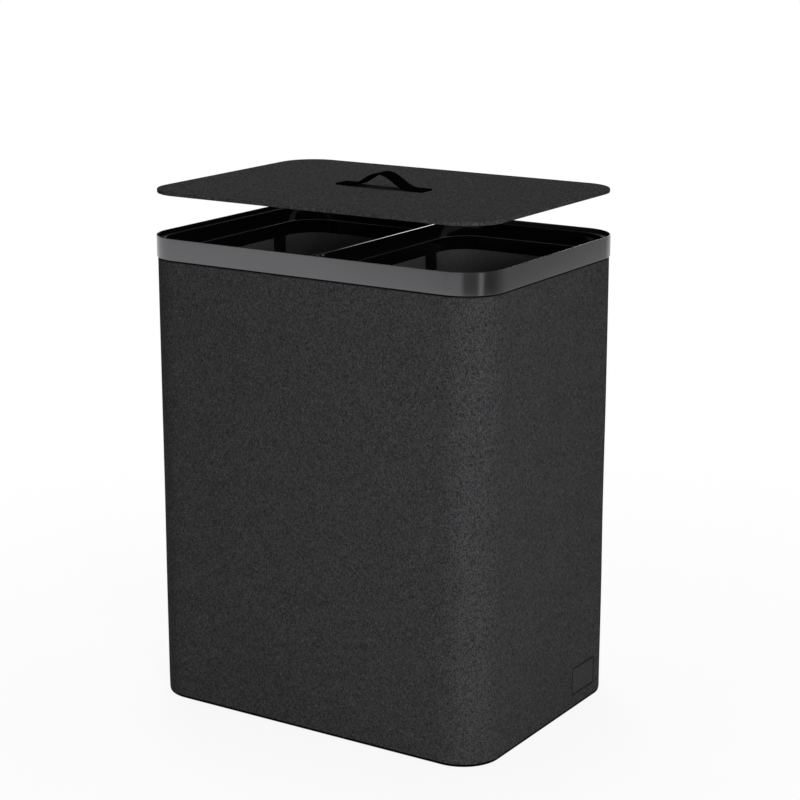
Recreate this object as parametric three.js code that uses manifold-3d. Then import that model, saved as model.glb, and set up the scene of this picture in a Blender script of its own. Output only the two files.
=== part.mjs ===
// A laundry hamper with two lift-out bins. Its body is a bent fibreboard wall in a woven fabric
// cover, under a satin metal band. A moulded frame inside the band carries the two bins side by
// side and seats a flat lift-off lid, which is shown raised above that seat.
// Millimetres. The origin is on the floor in the middle of the hamper, with X to the right,
// Y from front to back and Z up.

import * as THREE from "three";
import { mergeVertices } from "three/addons/utils/BufferGeometryUtils.js";
import Module from "manifold-3d";

const wasm = await Module();
wasm.setup();

// Body: the fabric's outside, and the layers of the wall
const bodyWidth = 490;
const bodyDepth = 350;
const bodyHeight = 600; // from the fabric's lower fold to the top edge of the band
const bodyCornerRadius = 50;
const fabricThick = 1.2;
const boardThick = 3;
const fabricHem = 22; // how far the fabric is turned in under the body
const seatGap = 0.3; // left between two pieces that rest on or line each other
const jointSlit = 1; // between the two ends of the bent wall board, at the back
const jointStripWidth = 44;
const jointStripThick = 2;
const jointStripInset = 8; // from the strip's ends to what lies above and below it

// Base: the floor board, the battens that tie it to the wall, and the push-in feet
const floorThick = 6;
const battenSize = 14;
const battenChamfer = 4;
const battenEndGap = 6; // from a batten's end to where the wall starts to bend
const footRadius = 14;
const footPadThick = 1.8;
const footPadRound = 0.6;
const footInset = 40; // from the body's sides to the middle of a foot
const footStemRadius = 3.7;
const footHeadRadius = 5.2;
const footHeadHeight = 4;
const footTipRadius = 2.4;
const footHoleClearance = 0.3;

// Band: the metal hoop, with a shelf that is clamped over the top edge of the wall
const bandHeight = 27;
const bandThick = 1;
const bandClearance = 0.25;
const bandEdgeRound = 0.3;
const bandShelfThick = 0.8;
const bandShelfReach = 1.6;

// Frame: the seat for the lid and the two wells that the bins hang in
const seatThick = 1.7;
const seatEdgeClearance = 0.4;
const skirtThick = 1.8;
const skirtDraft = 0.4; // how much a well narrows from its mouth to its ledge
const wellCornerRadius = 48;
const wellMouthRound = 1.1;
const dividerWidth = 2.6;
const ledgeWidth = 3.2;
const ledgeThick = 2;
const collarDrop = 17.5; // from the seat down to the top of a bin's collar

// Lid: a thin board in a fabric cover that is turned in under it, and a liner
const lidThick = 4.8;
const lidClearance = 1; // between the lid's edge and the inside of the band
const lidRecess = 0.2; // how far the closed lid lies below the band's top edge
const lidLift = 57.7; // how far the lid is raised here above its closed place
const lidFabricThick = 0.8;
const lidEdgeRound = 0.9;
const lidHem = 20;

// Strap handle on the lid, with moulded pegs and push-on washers
const strapWidth = 25;
const strapThick = 2;
const strapLength = 127;
const strapTabLength = 20;
const strapRise = 17; // from the lid to the underside of the arch
const pegRadius = 2.7;
const pegClearance = 0.3;
const washerRadius = 6;
const washerThick = 0.8;
const washerPocketClearance = 0.5;
const washerPocketWall = 1; // left between the pockets of a tab's two pegs

// Bins: the collar that hangs on the ledge, the bag, its floor board and its webbing handles
const collarClearance = 0.5;
const collarFlangeThick = 1.4;
const collarHeight = 18;
const collarWallThick = 1.8;
const collarEdgeRound = 0.5;
const bagHemThick = 0.9;
const bagWallThick = 2;
const bagTaper = 8; // how much each side draws in towards the bottom
const bagStraightMargin = 1; // of straight wall, below the lowest point of a hanging handle
const bagBottomRound = 16;
const bagGroundClearance = 2; // above the battens
const bagBoardThick = 2.5;
const bagBoardMargin = 2;
const webbingWidth = 25;
const webbingThick = 1.6;
const webbingCornerGap = 7.9; // from a handle's leg to where the bag's corner starts
const webbingDrop = 112; // from a handle's sewn ends to the middle of the webbing at its lowest
const webbingBendRadius = 46; // at the middle of the webbing

const cornerSteps = 10;
const roundSteps = 4;
const turnedSteps = 16;
const strapSteps = 22;

// Heights that follow from those sizes
const bodyBottom = footPadThick + seatGap;
const bandTop = bodyBottom + bodyHeight;
const boardBottom = bodyBottom + fabricThick + seatGap;
const floorTop = boardBottom + floorThick;
const battenBottom = floorTop + seatGap;
const battenTop = battenBottom + battenSize;
const seatTop = bandTop - lidRecess - lidThick - seatGap;
const seatBottom = seatTop - seatThick;
const shelfTop = seatBottom - seatGap;
const boardTop = shelfTop - bandShelfThick - seatGap;
const collarTop = seatTop - collarDrop;
const collarBottom = collarTop - collarHeight;
const ledgeTop = collarTop - collarFlangeThick - seatGap;
const ledgeBottom = ledgeTop - ledgeThick;
const lidTop = bandTop - lidRecess + lidLift;
const lidBottom = lidTop - lidThick;

// Distances in from the body's outside, through the wall
const boardInset = fabricThick + seatGap;
const liningInset = boardInset + boardThick + seatGap;
const wellInset = liningInset + skirtThick;

// Distances in from a well's edge
const collarInset = skirtDraft + collarClearance;
const bagInset = ledgeWidth + seatGap;
const collarWallInset = bagInset + bagHemThick + seatGap;
const collarInnerInset = collarWallInset + collarWallThick;

// Plans: rounded rectangles seen from above
const bodyPlan = {
  x: 0,
  y: 0,
  halfX: bodyWidth / 2,
  halfY: bodyDepth / 2,
  radius: bodyCornerRadius,
};
const lidPlan = inset(bodyPlan, lidClearance - bandClearance);
const wellHalfX = (bodyPlan.halfX - wellInset - dividerWidth / 2) / 2;
const sides = [
  { name: "left", sign: -1 },
  { name: "right", sign: 1 },
];

// The plan of the well on one side of the divider.
function wellPlan(sign) {
  return {
    x: sign * (dividerWidth / 2 + wellHalfX),
    y: 0,
    halfX: wellHalfX,
    halfY: bodyPlan.halfY - wellInset,
    radius: wellCornerRadius,
  };
}

// A plan moved in by a distance, or out if it is negative; a corner never turns past a point.
function inset(plan, distance) {
  return {
    ...plan,
    halfX: plan.halfX - distance,
    halfY: plan.halfY - distance,
    radius: Math.max(plan.radius - distance, 0.01 * plan.radius),
  };
}

// The points of a plan at a height, anticlockwise seen from above.
function loopAt(plan, height) {
  const quarters = [
    [1, 1],
    [-1, 1],
    [-1, -1],
    [1, -1],
  ];
  return quarters.flatMap(([signX, signY], quarter) =>
    Array.from({ length: cornerSteps + 1 }, (_, step) => {
      const turn = ((quarter + step / cornerSteps) * Math.PI) / 2;
      return [
        plan.x + signX * (plan.halfX - plan.radius) + plan.radius * Math.cos(turn),
        plan.y + signY * (plan.halfY - plan.radius) + plan.radius * Math.sin(turn),
        height,
      ];
    }),
  );
}

// The triangles between neighbouring loops of equal length.
function sideFaces(loopCount, pointCount, wraps) {
  const faces = [];
  const bands = wraps ? loopCount : loopCount - 1;
  for (let band = 0; band < bands; band++) {
    const here = band * pointCount;
    const next = ((band + 1) % loopCount) * pointCount;
    for (let point = 0; point < pointCount; point++) {
      const beside = (point + 1) % pointCount;
      faces.push(here + point, here + beside, next + beside);
      faces.push(here + point, next + beside, next + point);
    }
  }
  return faces;
}

function geometryOf(points, faces) {
  const geometry = new THREE.BufferGeometry();
  geometry.setAttribute("position", new THREE.Float32BufferAttribute(points.flat(), 3));
  geometry.setIndex(faces);
  return geometry;
}

// A closed ring: a profile of [distance in, height] points carried round a plan. The profile
// goes up the outside, in over the top, down the inside and out along the bottom.
function hoop(plan, profile) {
  const loops = profile.map(([distance, height]) => loopAt(inset(plan, distance), height));
  return geometryOf(loops.flat(), sideFaces(loops.length, loops[0].length, true));
}

// A closed solid whose skin runs through loops, with a flat face on the first and the last.
// The same [distance in, height] points as for a hoop, from the lower face to the upper one.
function loft(plan, profile) {
  const loops = profile.map(([distance, height]) => loopAt(inset(plan, distance), height));
  const pointCount = loops[0].length;
  const faces = sideFaces(loops.length, pointCount, false);
  const last = (loops.length - 1) * pointCount;
  for (let point = 1; point < pointCount - 1; point++) {
    faces.push(0, point + 1, point);
    faces.push(last, last + point, last + point + 1);
  }
  return geometryOf(loops.flat(), faces);
}

function plate(plan, bottom, top) {
  return loft(plan, [
    [0, bottom],
    [0, top],
  ]);
}

// Points of a quarter round from one [distance, height] to another, about the corner that
// shares the first one's height and the second one's distance.
function quarterRound([fromIn, fromUp], [toIn, toUp]) {
  return Array.from({ length: roundSteps + 1 }, (_, step) => {
    const turn = ((step / roundSteps) * Math.PI) / 2;
    return [
      fromIn + (toIn - fromIn) * Math.sin(turn),
      toUp + (fromUp - toUp) * Math.cos(turn),
    ];
  });
}

// A turned piece on a vertical axis: [radius, height] points from the lower end to the upper.
function turned(profile, x, y) {
  const points = profile.map(([radius, height]) => new THREE.Vector2(radius, height));
  const geometry = new THREE.LatheGeometry(points, turnedSteps);
  geometry.rotateX(Math.PI / 2);
  geometry.translate(x, y, 0);
  return geometry;
}

function post(radius, bottom, top, x, y) {
  return turned(
    [
      [0, bottom],
      [radius, bottom],
      [radius, top],
      [0, top],
    ],
    x,
    y,
  );
}

function block(low, high) {
  const size = high.map((value, axis) => value - low[axis]);
  const geometry = new THREE.BoxGeometry(...size);
  geometry.translate(...low.map((value, axis) => value + size[axis] / 2));
  return geometry;
}

// Joins and cuts, on closed geometries.
function solid(geometry) {
  const bare = geometry.clone();
  bare.deleteAttribute("normal");
  bare.deleteAttribute("uv");
  const merged = mergeVertices(bare, 0.01 * seatGap);
  return new wasm.Manifold(
    new wasm.Mesh({
      numProp: 3,
      vertProperties: merged.attributes.position.array,
      triVerts: new Uint32Array(merged.index.array),
    }),
  );
}

function shapeOf(manifold) {
  const mesh = manifold.getMesh();
  const geometry = new THREE.BufferGeometry();
  geometry.setAttribute("position", new THREE.Float32BufferAttribute(mesh.vertProperties, 3));
  geometry.setIndex(Array.from(mesh.triVerts));
  return geometry;
}

function joined(geometries) {
  return shapeOf(geometries.map(solid).reduce((whole, next) => whole.add(next)));
}

function cut(geometry, cutters) {
  return shapeOf(cutters.map(solid).reduce((left, next) => left.subtract(next), solid(geometry)));
}

// Finishes
const finishes = {
  melangeFabric: { color: 0x313133, roughness: 0.95, metalness: 0 },
  fibreboard: { color: 0x8a6f52, roughness: 0.9, metalness: 0 },
  satinMetal: { color: 0x6b6b6d, roughness: 0.38, metalness: 0.9 },
  glossBlack: { color: 0x0b0b0c, roughness: 0.22, metalness: 0 },
  bagCloth: { color: 0x1e1e20, roughness: 0.85, metalness: 0 },
  webbing: { color: 0x0a0a0b, roughness: 0.8, metalness: 0 },
  strapBlack: { color: 0x070708, roughness: 0.6, metalness: 0 },
  liningCloth: { color: 0x141415, roughness: 0.95, metalness: 0 },
  rubber: { color: 0x0f0f10, roughness: 0.8, metalness: 0 },
  springSteel: { color: 0x8c8f94, roughness: 0.35, metalness: 1 },
};
const materials = Object.fromEntries(
  Object.entries(finishes).map(([name, values]) => [
    name,
    new THREE.MeshStandardMaterial({ name, ...values }),
  ]),
);

const hamper = new THREE.Group();

function addPiece(group, name, geometry, finish) {
  const mesh = new THREE.Mesh(geometry, materials[finish]);
  mesh.name = name;
  group.add(mesh);
}

// The wall of the body: the fabric sleeve with its turned-in hem, the bent board that gives it
// its shape, and the strip that closes the board at the back.
function fabricCover() {
  return hoop(bodyPlan, [
    [0, bodyBottom],
    [0, boardTop],
    [fabricThick, boardTop],
    [fabricThick, bodyBottom + fabricThick],
    [fabricHem, bodyBottom + fabricThick],
    [fabricHem, bodyBottom],
  ]);
}

function shellBoard() {
  const inner = boardInset + boardThick;
  const wall = hoop(bodyPlan, [
    [boardInset, boardBottom],
    [boardInset, boardTop],
    [inner, boardTop],
    [inner, boardBottom],
  ]);
  const slit = block(
    [-jointSlit / 2, bodyPlan.halfY - inner - seatGap, boardBottom - seatGap],
    [jointSlit / 2, bodyPlan.halfY, boardTop + seatGap],
  );
  return cut(wall, [slit]);
}

function boardJointStrip() {
  const outer = bodyPlan.halfY - liningInset;
  return block(
    [-jointStripWidth / 2, outer - jointStripThick, battenTop + jointStripInset],
    [jointStripWidth / 2, outer, ledgeBottom - jointStripInset],
  );
}

// Where the feet stand, in the corners.
const footPlaces = [
  { name: "front_left", signX: -1, signY: -1 },
  { name: "front_right", signX: 1, signY: -1 },
  { name: "rear_left", signX: -1, signY: 1 },
  { name: "rear_right", signX: 1, signY: 1 },
].map(({ name, signX, signY }) => ({
  name,
  x: signX * (bodyPlan.halfX - footInset),
  y: signY * (bodyPlan.halfY - footInset),
}));

function footHoles(bottom, top) {
  const radius = footStemRadius + footHoleClearance;
  return footPlaces.map(({ x, y }) => post(radius, bottom - seatGap, top + seatGap, x, y));
}

function floorBoard() {
  const board = plate(inset(bodyPlan, liningInset), boardBottom, floorTop);
  return cut(board, footHoles(boardBottom, floorTop));
}

function undersideCover() {
  const top = bodyBottom + fabricThick;
  const sheet = plate(inset(bodyPlan, fabricHem + seatGap), bodyBottom, top);
  return cut(sheet, footHoles(bodyBottom, top));
}

// A push-in foot: a flat pad, a stem through the floor board and a head that holds it there.
function foot({ x, y }) {
  const headBottom = floorTop + seatGap;
  return turned(
    [
      [0, 0],
      [footRadius - footPadRound, 0],
      [footRadius, footPadRound],
      [footRadius, footPadThick - footPadRound],
      [footRadius - footPadRound, footPadThick],
      [footStemRadius, footPadThick],
      [footStemRadius, headBottom],
      [footHeadRadius, headBottom],
      [footTipRadius, headBottom + footHeadHeight],
      [0, headBottom + footHeadHeight],
    ],
    x,
    y,
  );
}

// A batten along the foot of a wall, with its upper inner edge cut back. It is drawn along X
// against a wall on the far side, then turned to its own wall.
function batten(wallDistance, length, turn) {
  const profile = new THREE.Shape();
  profile.moveTo(0, 0);
  profile.lineTo(battenSize, 0);
  profile.lineTo(battenSize, battenSize);
  profile.lineTo(battenChamfer, battenSize);
  profile.lineTo(0, battenSize - battenChamfer);
  profile.closePath();
  const geometry = new THREE.ExtrudeGeometry(profile, { depth: length, bevelEnabled: false });
  geometry.rotateX(Math.PI / 2);
  geometry.rotateZ(Math.PI / 2);
  geometry.translate(-length / 2, wallDistance - battenSize, battenBottom);
  geometry.rotateZ(turn);
  return geometry;
}

function battens() {
  const straightX = bodyWidth - 2 * (bodyCornerRadius + battenEndGap);
  const straightY = bodyDepth - 2 * (bodyCornerRadius + battenEndGap);
  const toSide = bodyPlan.halfX - liningInset;
  const toFace = bodyPlan.halfY - liningInset;
  return [
    { name: "rear", wall: toFace, length: straightX, turn: 0 },
    { name: "left", wall: toSide, length: straightY, turn: Math.PI / 2 },
    { name: "front", wall: toFace, length: straightX, turn: Math.PI },
    { name: "right", wall: toSide, length: straightY, turn: -Math.PI / 2 },
  ];
}

// The band: a metal hoop whose inner shelf lies on the wall's top edge, under the frame's seat.
function topBand() {
  const outer = -bandClearance - bandThick;
  const inner = -bandClearance;
  const bottom = bandTop - bandHeight;
  const shelfBottom = shelfTop - bandShelfThick;
  return hoop(bodyPlan, [
    [outer, bottom + bandEdgeRound],
    [outer, bandTop - bandEdgeRound],
    [outer + bandEdgeRound, bandTop],
    [inner - bandEdgeRound, bandTop],
    [inner, bandTop - bandEdgeRound],
    [inner, shelfTop],
    [bandShelfReach, shelfTop],
    [bandShelfReach, shelfBottom],
    [inner, shelfBottom],
    [inner, bottom],
    [outer + bandEdgeRound, bottom],
  ]);
}

// The frame: a seat for the lid with two wells, each with a drafted skirt, a rounded mouth and
// a ledge that carries a bin's collar. The two skirts meet in the divider.
function insertFrame() {
  const seat = plate(inset(bodyPlan, seatEdgeClearance - bandClearance), seatBottom, seatTop);
  const plans = sides.map(({ sign }) => wellPlan(sign));
  const skirts = plans.map((plan) => plate(inset(plan, -skirtThick), ledgeBottom, seatTop));
  const wells = plans.map((plan) =>
    loft(plan, [
      [skirtDraft, ledgeTop],
      [0, seatTop - wellMouthRound],
      ...quarterRound([0, seatTop - wellMouthRound], [-wellMouthRound, seatTop]).slice(1),
      [-wellMouthRound, seatTop + seatThick],
    ]),
  );
  const ledgeOpenings = plans.map((plan) =>
    plate(inset(plan, ledgeWidth), ledgeBottom - seatThick, seatTop + seatThick),
  );
  return cut(joined([seat, ...skirts]), [...wells, ...ledgeOpenings]);
}

// The lid. The cover's skin starts at the ceiling of the pocket that holds the board, goes down
// and in over the turned-under hem, and back up round the edge to the top.
const lidCeiling = lidTop - lidFabricThick;
const lidHemTop = lidBottom + lidFabricThick;
const lidPocketInset = lidFabricThick;
const washerPocketRadius = washerRadius + washerPocketClearance;
const pegSpacing = 2 * washerPocketRadius + washerPocketWall;
const pegPlaces = sides.flatMap((side) =>
  [
    { name: "front", signY: -1 },
    { name: "rear", signY: 1 },
  ].map((row) => ({
    name: `${side.name}_${row.name}`,
    x: side.sign * (strapLength / 2 - strapTabLength / 2),
    y: (row.signY * pegSpacing) / 2,
  })),
);

function pegHoles(bottom, top) {
  const radius = pegRadius + pegClearance;
  return pegPlaces.map(({ x, y }) => post(radius, bottom - seatGap, top + seatGap, x, y));
}

function lidFabricCover() {
  const cover = loft(lidPlan, [
    [lidPocketInset, lidCeiling],
    [lidPocketInset, lidHemTop],
    [lidHem, lidHemTop],
    [lidHem, lidBottom],
    [lidEdgeRound, lidBottom],
    ...quarterRound([lidEdgeRound, lidBottom], [0, lidBottom + lidEdgeRound]).slice(1),
    ...quarterRound([0, lidTop - lidEdgeRound], [lidEdgeRound, lidTop]),
  ]);
  return cut(cover, pegHoles(lidCeiling, lidTop));
}

const lidBoardTop = lidCeiling - seatGap;
const lidBoardBottom = lidHemTop + seatGap;
const washerPocketTop = lidBoardBottom + washerThick + seatGap;

// The lid's board, with a stepped hole for each peg that sinks its washer.
function lidBoard() {
  const board = plate(inset(lidPlan, lidPocketInset + seatGap), lidBoardBottom, lidBoardTop);
  const holeRadius = pegRadius + pegClearance;
  const steppedHole = [
    [0, lidBoardBottom - seatGap],
    [washerPocketRadius, lidBoardBottom - seatGap],
    [washerPocketRadius, washerPocketTop],
    [holeRadius, washerPocketTop],
    [holeRadius, lidBoardTop + seatGap],
    [0, lidBoardTop + seatGap],
  ];
  return cut(board, pegPlaces.map(({ x, y }) => turned(steppedHole, x, y)));
}

function lidLiner() {
  return plate(inset(lidPlan, lidHem + seatGap), lidBottom, lidHemTop);
}

// The height of the strap's underside above the lid, at a distance from its middle.
function archHeight(distance) {
  const foot = strapLength / 2 - strapTabLength;
  if (Math.abs(distance) >= foot) return 0;
  return (strapRise * (1 + Math.cos((Math.PI * distance) / foot))) / 2;
}

// The strap: two flat tabs and an arch between them, with two pegs under each tab.
function handleStrap() {
  const end = strapLength / 2;
  const foot = end - strapTabLength;
  const along = [
    -end,
    ...Array.from({ length: strapSteps + 1 }, (_, step) => foot * ((2 * step) / strapSteps - 1)),
    end,
  ];
  const slope = (x) => (archHeight(x + seatGap) - archHeight(x - seatGap)) / (2 * seatGap);
  const lower = along.map((x) => new THREE.Vector2(x, archHeight(x)));
  const upper = along.map((x) => {
    const steep = Math.hypot(1, slope(x));
    return new THREE.Vector2(
      x - (strapThick * slope(x)) / steep,
      archHeight(x) + strapThick / steep,
    );
  });
  const side = new THREE.Shape([...lower, ...upper.reverse()]);
  const ribbon = new THREE.ExtrudeGeometry(side, { depth: strapWidth, bevelEnabled: false });
  ribbon.rotateX(Math.PI / 2);
  ribbon.translate(0, strapWidth / 2, lidTop + seatGap);
  const pegTop = lidTop + seatGap + strapThick / 2;
  const pegs = pegPlaces.map(({ x, y }) => post(pegRadius, lidBoardBottom, pegTop, x, y));
  return joined([ribbon, ...pegs]);
}

// A push-on washer round a peg, in its pocket under the lid's board.
function strapWasher({ x, y }) {
  const bore = pegRadius + pegClearance;
  return turned(
    [
      [bore, lidBoardBottom],
      [washerRadius, lidBoardBottom],
      [washerRadius, lidBoardBottom + washerThick],
      [bore, lidBoardBottom + washerThick],
      [bore, lidBoardBottom],
    ],
    x,
    y,
  );
}

// The bins. The collar is an angle in section: a flange that hangs on the frame's ledge and a
// wall that the top of the bag is fixed round.
function binCollar(plan) {
  const flangeBottom = collarTop - collarFlangeThick;
  return hoop(plan, [
    [collarInset, flangeBottom],
    [collarInset, collarTop - collarEdgeRound],
    [collarInset + collarEdgeRound, collarTop],
    ...quarterRound(
      [collarInnerInset - collarEdgeRound, collarTop],
      [collarInnerInset, collarTop - collarEdgeRound],
    ),
    [collarInnerInset, collarBottom],
    [collarWallInset, collarBottom],
    [collarWallInset, flangeBottom],
  ]);
}

const bagBottom = battenTop + bagGroundClearance;
const bagHemTop = collarTop - collarFlangeThick - seatGap;
const bagStepHeight = collarBottom - seatGap;
const handleTop = collarBottom - seatGap;
const bagTaperTop = handleTop - webbingDrop - webbingWidth / 2 - bagStraightMargin;

// The bag: an open shell, straight where the handles hang, drawn in below, with a rounded
// bottom edge.
function bag(plan) {
  const low = bagInset + bagTaper;
  const wall = bagWallThick;
  const roundTop = bagBottom + bagBottomRound;
  const outerRound = quarterRound([low, roundTop], [low + bagBottomRound, bagBottom]).reverse();
  const innerRound = quarterRound(
    [low + wall, roundTop],
    [low + bagBottomRound, bagBottom + wall],
  );
  return loft(plan, [
    ...outerRound,
    [bagInset, bagTaperTop],
    [bagInset, bagHemTop],
    [bagInset + bagHemThick, bagHemTop],
    [bagInset + bagHemThick, bagStepHeight],
    [bagInset + wall, bagStepHeight],
    [bagInset + wall, bagTaperTop],
    ...innerRound,
  ]);
}

function bagBoard(plan) {
  const bottom = bagBottom + bagWallThick + seatGap;
  const margin = bagInset + bagTaper + bagBottomRound + bagBoardMargin;
  return plate(inset(plan, margin), bottom, bottom + bagBoardThick);
}

// From the middle of a handle to the middle of each of its legs.
const legDistance =
  wellPlan(1).halfY - wellCornerRadius - webbingCornerGap - webbingWidth / 2;

// Half of a handle's outline at a distance from the middle of the webbing: down a leg and
// round the bend to the middle of the loop.
function webbingEdge(offset, signY) {
  const bend = webbingBendRadius + offset;
  const centreY = legDistance - webbingBendRadius;
  const centreZ = webbingBendRadius - webbingDrop;
  const arc = Array.from({ length: cornerSteps + 1 }, (_, step) => {
    const turn = ((step / cornerSteps) * Math.PI) / 2;
    return new THREE.Vector2(
      signY * (centreY + bend * Math.cos(turn)),
      centreZ - bend * Math.sin(turn),
    );
  });
  return [new THREE.Vector2(signY * (legDistance + offset), 0), ...arc];
}

// A webbing handle that hangs against the bag's side wall, below the collar.
function webbingHandle(plan, signX) {
  const half = webbingWidth / 2;
  const outer = [...webbingEdge(half, 1), ...webbingEdge(half, -1).reverse()];
  const inner = [...webbingEdge(-half, -1), ...webbingEdge(-half, 1).reverse()];
  const side = new THREE.Shape([...outer, ...inner]);
  const geometry = new THREE.ExtrudeGeometry(side, { depth: webbingThick, bevelEnabled: false });
  geometry.rotateX(Math.PI / 2);
  geometry.rotateZ(Math.PI / 2);
  const wallX = plan.x + signX * (plan.halfX - bagInset - bagWallThick - seatGap);
  const lowX = signX > 0 ? wallX - webbingThick : wallX;
  geometry.translate(lowX, plan.y, handleTop);
  return geometry;
}

// The assembly
const body = new THREE.Group();
addPiece(body, "fabric_cover", fabricCover(), "melangeFabric");
addPiece(body, "shell_board", shellBoard(), "fibreboard");
addPiece(body, "board_joint_strip", boardJointStrip(), "fibreboard");
addPiece(body, "floor_board", floorBoard(), "fibreboard");
addPiece(body, "underside_cover", undersideCover(), "liningCloth");
for (const { name, wall, length, turn } of battens()) {
  addPiece(body, `base_batten_${name}`, batten(wall, length, turn), "fibreboard");
}
for (const place of footPlaces) {
  addPiece(body, `foot_${place.name}`, foot(place), "rubber");
}
addPiece(body, "top_band", topBand(), "satinMetal");
addPiece(body, "insert_frame", insertFrame(), "glossBlack");
hamper.add(body);

const lid = new THREE.Group();
addPiece(lid, "lid_fabric_cover", lidFabricCover(), "melangeFabric");
addPiece(lid, "lid_board", lidBoard(), "fibreboard");
addPiece(lid, "lid_liner", lidLiner(), "liningCloth");
addPiece(lid, "handle_strap", handleStrap(), "strapBlack");
for (const place of pegPlaces) {
  addPiece(lid, `strap_washer_${place.name}`, strapWasher(place), "springSteel");
}
hamper.add(lid);

for (const { name, sign } of sides) {
  const bin = new THREE.Group();
  const plan = wellPlan(sign);
  addPiece(bin, `bin_${name}_collar`, binCollar(plan), "glossBlack");
  addPiece(bin, `bin_${name}_bag`, bag(plan), "bagCloth");
  addPiece(bin, `bin_${name}_floor_board`, bagBoard(plan), "bagCloth");
  addPiece(bin, `bin_${name}_handle_outer`, webbingHandle(plan, sign), "webbing");
  addPiece(bin, `bin_${name}_handle_inner`, webbingHandle(plan, -sign), "webbing");
  hamper.add(bin);
}

export default hamper;
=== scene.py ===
import math
from collections import namedtuple

import bmesh
import bpy
import numpy as np
from bpy.props import FloatProperty, FloatVectorProperty, PointerProperty
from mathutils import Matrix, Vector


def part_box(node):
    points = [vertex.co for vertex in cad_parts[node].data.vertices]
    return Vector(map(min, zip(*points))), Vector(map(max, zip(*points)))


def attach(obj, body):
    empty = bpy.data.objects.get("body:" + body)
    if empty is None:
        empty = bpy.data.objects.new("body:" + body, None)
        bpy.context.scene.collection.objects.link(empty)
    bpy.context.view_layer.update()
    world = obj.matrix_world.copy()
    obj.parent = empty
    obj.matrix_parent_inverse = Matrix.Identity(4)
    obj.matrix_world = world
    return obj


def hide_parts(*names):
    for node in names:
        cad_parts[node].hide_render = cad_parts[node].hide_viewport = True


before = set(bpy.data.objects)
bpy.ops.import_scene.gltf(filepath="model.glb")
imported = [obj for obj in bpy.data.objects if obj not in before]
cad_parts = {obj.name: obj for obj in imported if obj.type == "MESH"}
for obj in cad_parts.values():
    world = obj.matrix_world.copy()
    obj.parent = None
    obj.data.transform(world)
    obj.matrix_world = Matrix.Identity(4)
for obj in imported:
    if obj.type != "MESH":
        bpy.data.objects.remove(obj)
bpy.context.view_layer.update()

# The looks of a laundry hamper with two lift-out bins: a fabric-covered body with a satin metal
# band, a moulded frame that carries the bins, and a flat lid with a strap handle. Metres, with
# the origin on the floor under the middle of the hamper, +X to the right and +Y to the rear.

bl_info = {
    "name": "Two-bin laundry hamper",
    "version": (1, 0, 0),
    "blender": (4, 5, 0),
    "location": "3D View > Sidebar > Hamper",
    "description": "Builds the surfaces and finishes of a laundry hamper round its packed frame",
    "category": "Object",
}

BODY_LOW, BODY_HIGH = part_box("fabric_cover")
BAND_LOW, BAND_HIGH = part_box("top_band")
SIDES = ("left", "right")
ROWS = ("front", "rear")
MM = 0.001
SEAT_GAP = 0.3 * MM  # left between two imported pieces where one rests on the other
MERGE = 2e-6  # points of a surface that lie closer than this are one


def number(name, default, description, **kind):
    return FloatProperty(name=name, description=description, default=default, **kind)


def length(name, default, description):
    return number(name, default, description, unit="LENGTH", precision=5)


def share(name, default, description):
    return number(name, default, description, subtype="FACTOR", min=0, max=1)


def colour(name, default, description):
    return FloatVectorProperty(
        name=name, description=description, default=default, subtype="COLOR", size=3, min=0, max=1
    )


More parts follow.
